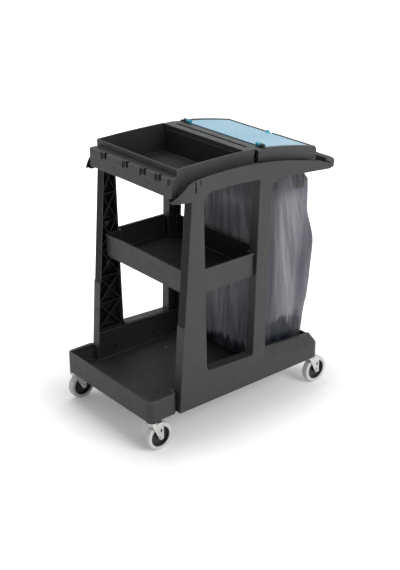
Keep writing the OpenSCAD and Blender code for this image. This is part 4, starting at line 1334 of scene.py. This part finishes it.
@dataclass
class Studio:
    """White floor, soft light and the camera at the photograph's viewpoint."""

    eye: Triple = (-2.5135, -3.0169, 2.2171)
    aim: Triple = (0.0011, 0.0, 0.4570)
    lens: float = 69.6
    sensor: float = 36.0
    view_end: float = 100.0
    # Lights: the sky's strength, and the place, side and watts of each lamp
    sky: float = 0.55
    key_place: Triple = (0.5, -3.5, 2.2)
    key_size: float = 2.2
    key_power: float = 94.5
    top_place: Triple = (0.2, 0.9, 3.9)
    top_size: float = 2.4
    top_power: float = 54.0
    lit_point: Triple = (0.0, 0.0, 0.5)
    # Floor: its grey, the glow under the cart, and where that rises to white beyond the footing
    floor_size: float = 60.0
    floor_grey: float = 0.8
    lift: float = 0.15
    footing: Triple = (0.42, 0.24, 0.0)
    rise: Span = (0.05, 0.7)

    def seen(self, tree: bpy.types.NodeTree) -> Socket:
        """Whether a ray shows the background: directly, in a reflection or through a clear sheet.

        Args:
            tree: Node tree to add the test to.

        Returns:
            1 for such a ray, else 0.
        """
        path = tree.nodes.new("ShaderNodeLightPath")
        total = path.outputs["Is Camera Ray"]
        for name in ("Is Glossy Ray", "Is Transmission Ray"):
            plus = tree.nodes.new("ShaderNodeMath")
            plus.operation = "MAXIMUM"
            tree.links.new(total, plus.inputs[0])
            tree.links.new(path.outputs[name], plus.inputs[1])
            total = plus.outputs[0]
        return total

    def beyond_footing(self, g: Graph) -> Socket:
        """Distance of a place on the floor from the cart's footing.

        Args:
            g: The floor's nodes.

        Returns:
            The distance.
        """
        off = g.coords()
        steps = (("ABSOLUTE", None), ("SUBTRACT", self.footing), ("MAXIMUM", (0.0, 0.0, 0.0)))
        for step, by in steps:
            node = g.add("ShaderNodeVectorMath", operation=step)
            g.link(off, node.inputs[0])
            if by is not None:
                node.inputs[1].default_value = by
            off = node.outputs[0]
        away = g.add("ShaderNodeVectorMath", operation="LENGTH")
        g.link(off, away.inputs[0])
        return away.outputs["Value"]

    def floor(self) -> None:
        """Add the floor, white where it is seen and with the cart's soft shadow on it."""
        deselect()
        bpy.ops.mesh.primitive_plane_add(size=self.floor_size, location=(0, 0, 0))
        floor = bpy.context.object
        floor.name = "studio_floor"
        g = Graph("studio_white")
        matt = g.add("ShaderNodeBsdfDiffuse", Color=(*[self.floor_grey] * 3, 1.0))
        glow = g.add("ShaderNodeEmission")
        level = g.spread(self.beyond_footing(g), self.rise, (self.lift, 1.0))
        g.link(level, glow.inputs["Strength"])
        lit = g.add("ShaderNodeAddShader")
        g.link(matt.outputs[0], lit.inputs[0])
        g.link(glow.outputs[0], lit.inputs[1])
        pick = g.add("ShaderNodeMixShader")
        g.link(self.seen(g.tree), pick.inputs[0])
        g.link(matt.outputs[0], pick.inputs[1])
        g.link(lit.outputs[0], pick.inputs[2])
        paint(floor, g.finish(pick))

    def world(self) -> None:
        """Add an even white sky that looks white and lights softly."""
        world = bpy.data.worlds.new("studio_world")
        bpy.context.scene.world = world
        world.use_nodes = True
        tree = world.node_tree
        level = tree.nodes.new("ShaderNodeMapRange")
        tree.links.new(self.seen(tree), level.inputs["Value"])
        level.inputs["To Min"].default_value = self.sky
        level.inputs["To Max"].default_value = 1.0
        back = tree.nodes["Background"]
        back.inputs["Color"].default_value = (*WHITE, 1.0)
        tree.links.new(level.outputs["Result"], back.inputs["Strength"])

    def light(self, name: str, place: Triple, size: float, power: float) -> None:
        """Add a square soft light that faces the cart.

        Args:
            name: Name of the light.
            place: Where it stands.
            size: Side length.
            power: Power in watts.
        """
        bpy.ops.object.light_add(type="AREA", location=place)
        lamp = bpy.context.object
        lamp.name = name
        lamp.data.size = size
        lamp.data.energy = power
        self.point_at(lamp, place, self.lit_point)

    @staticmethod
    def point_at(obj: Object, place: Triple, aim: Triple) -> None:
        """Turn a light or a camera at a place towards a point.

        Args:
            obj: The light or camera.
            place: Where it stands.
            aim: Point that it looks at.
        """
        obj.rotation_euler = (Vector(aim) - Vector(place)).to_track_quat("-Z", "Y").to_euler()

    def build(self) -> None:
        """Add the stage, the lights and the camera."""
        self.floor()
        self.world()
        self.light("key", self.key_place, self.key_size, self.key_power)
        self.light("top", self.top_place, self.top_size, self.top_power)
        bpy.ops.object.camera_add(location=self.eye)
        camera = bpy.context.object
        camera.data.lens = self.lens
        camera.data.sensor_width = self.sensor
        camera.data.clip_end = self.view_end
        self.point_at(camera, self.eye, self.aim)
        bpy.context.scene.camera = camera
        bpy.context.scene.view_settings.view_transform = "Standard"


def main() -> None:
    """Dress the cart and set the stage."""
    palette = Palette()
    Studio().build()
    for assembly in (Frame(), Lid(), Bag(), Casters()):
        log.info("sub-assembly %s", type(assembly).__name__)
        assembly.build(palette)


if __name__ == "__main__":
    main()
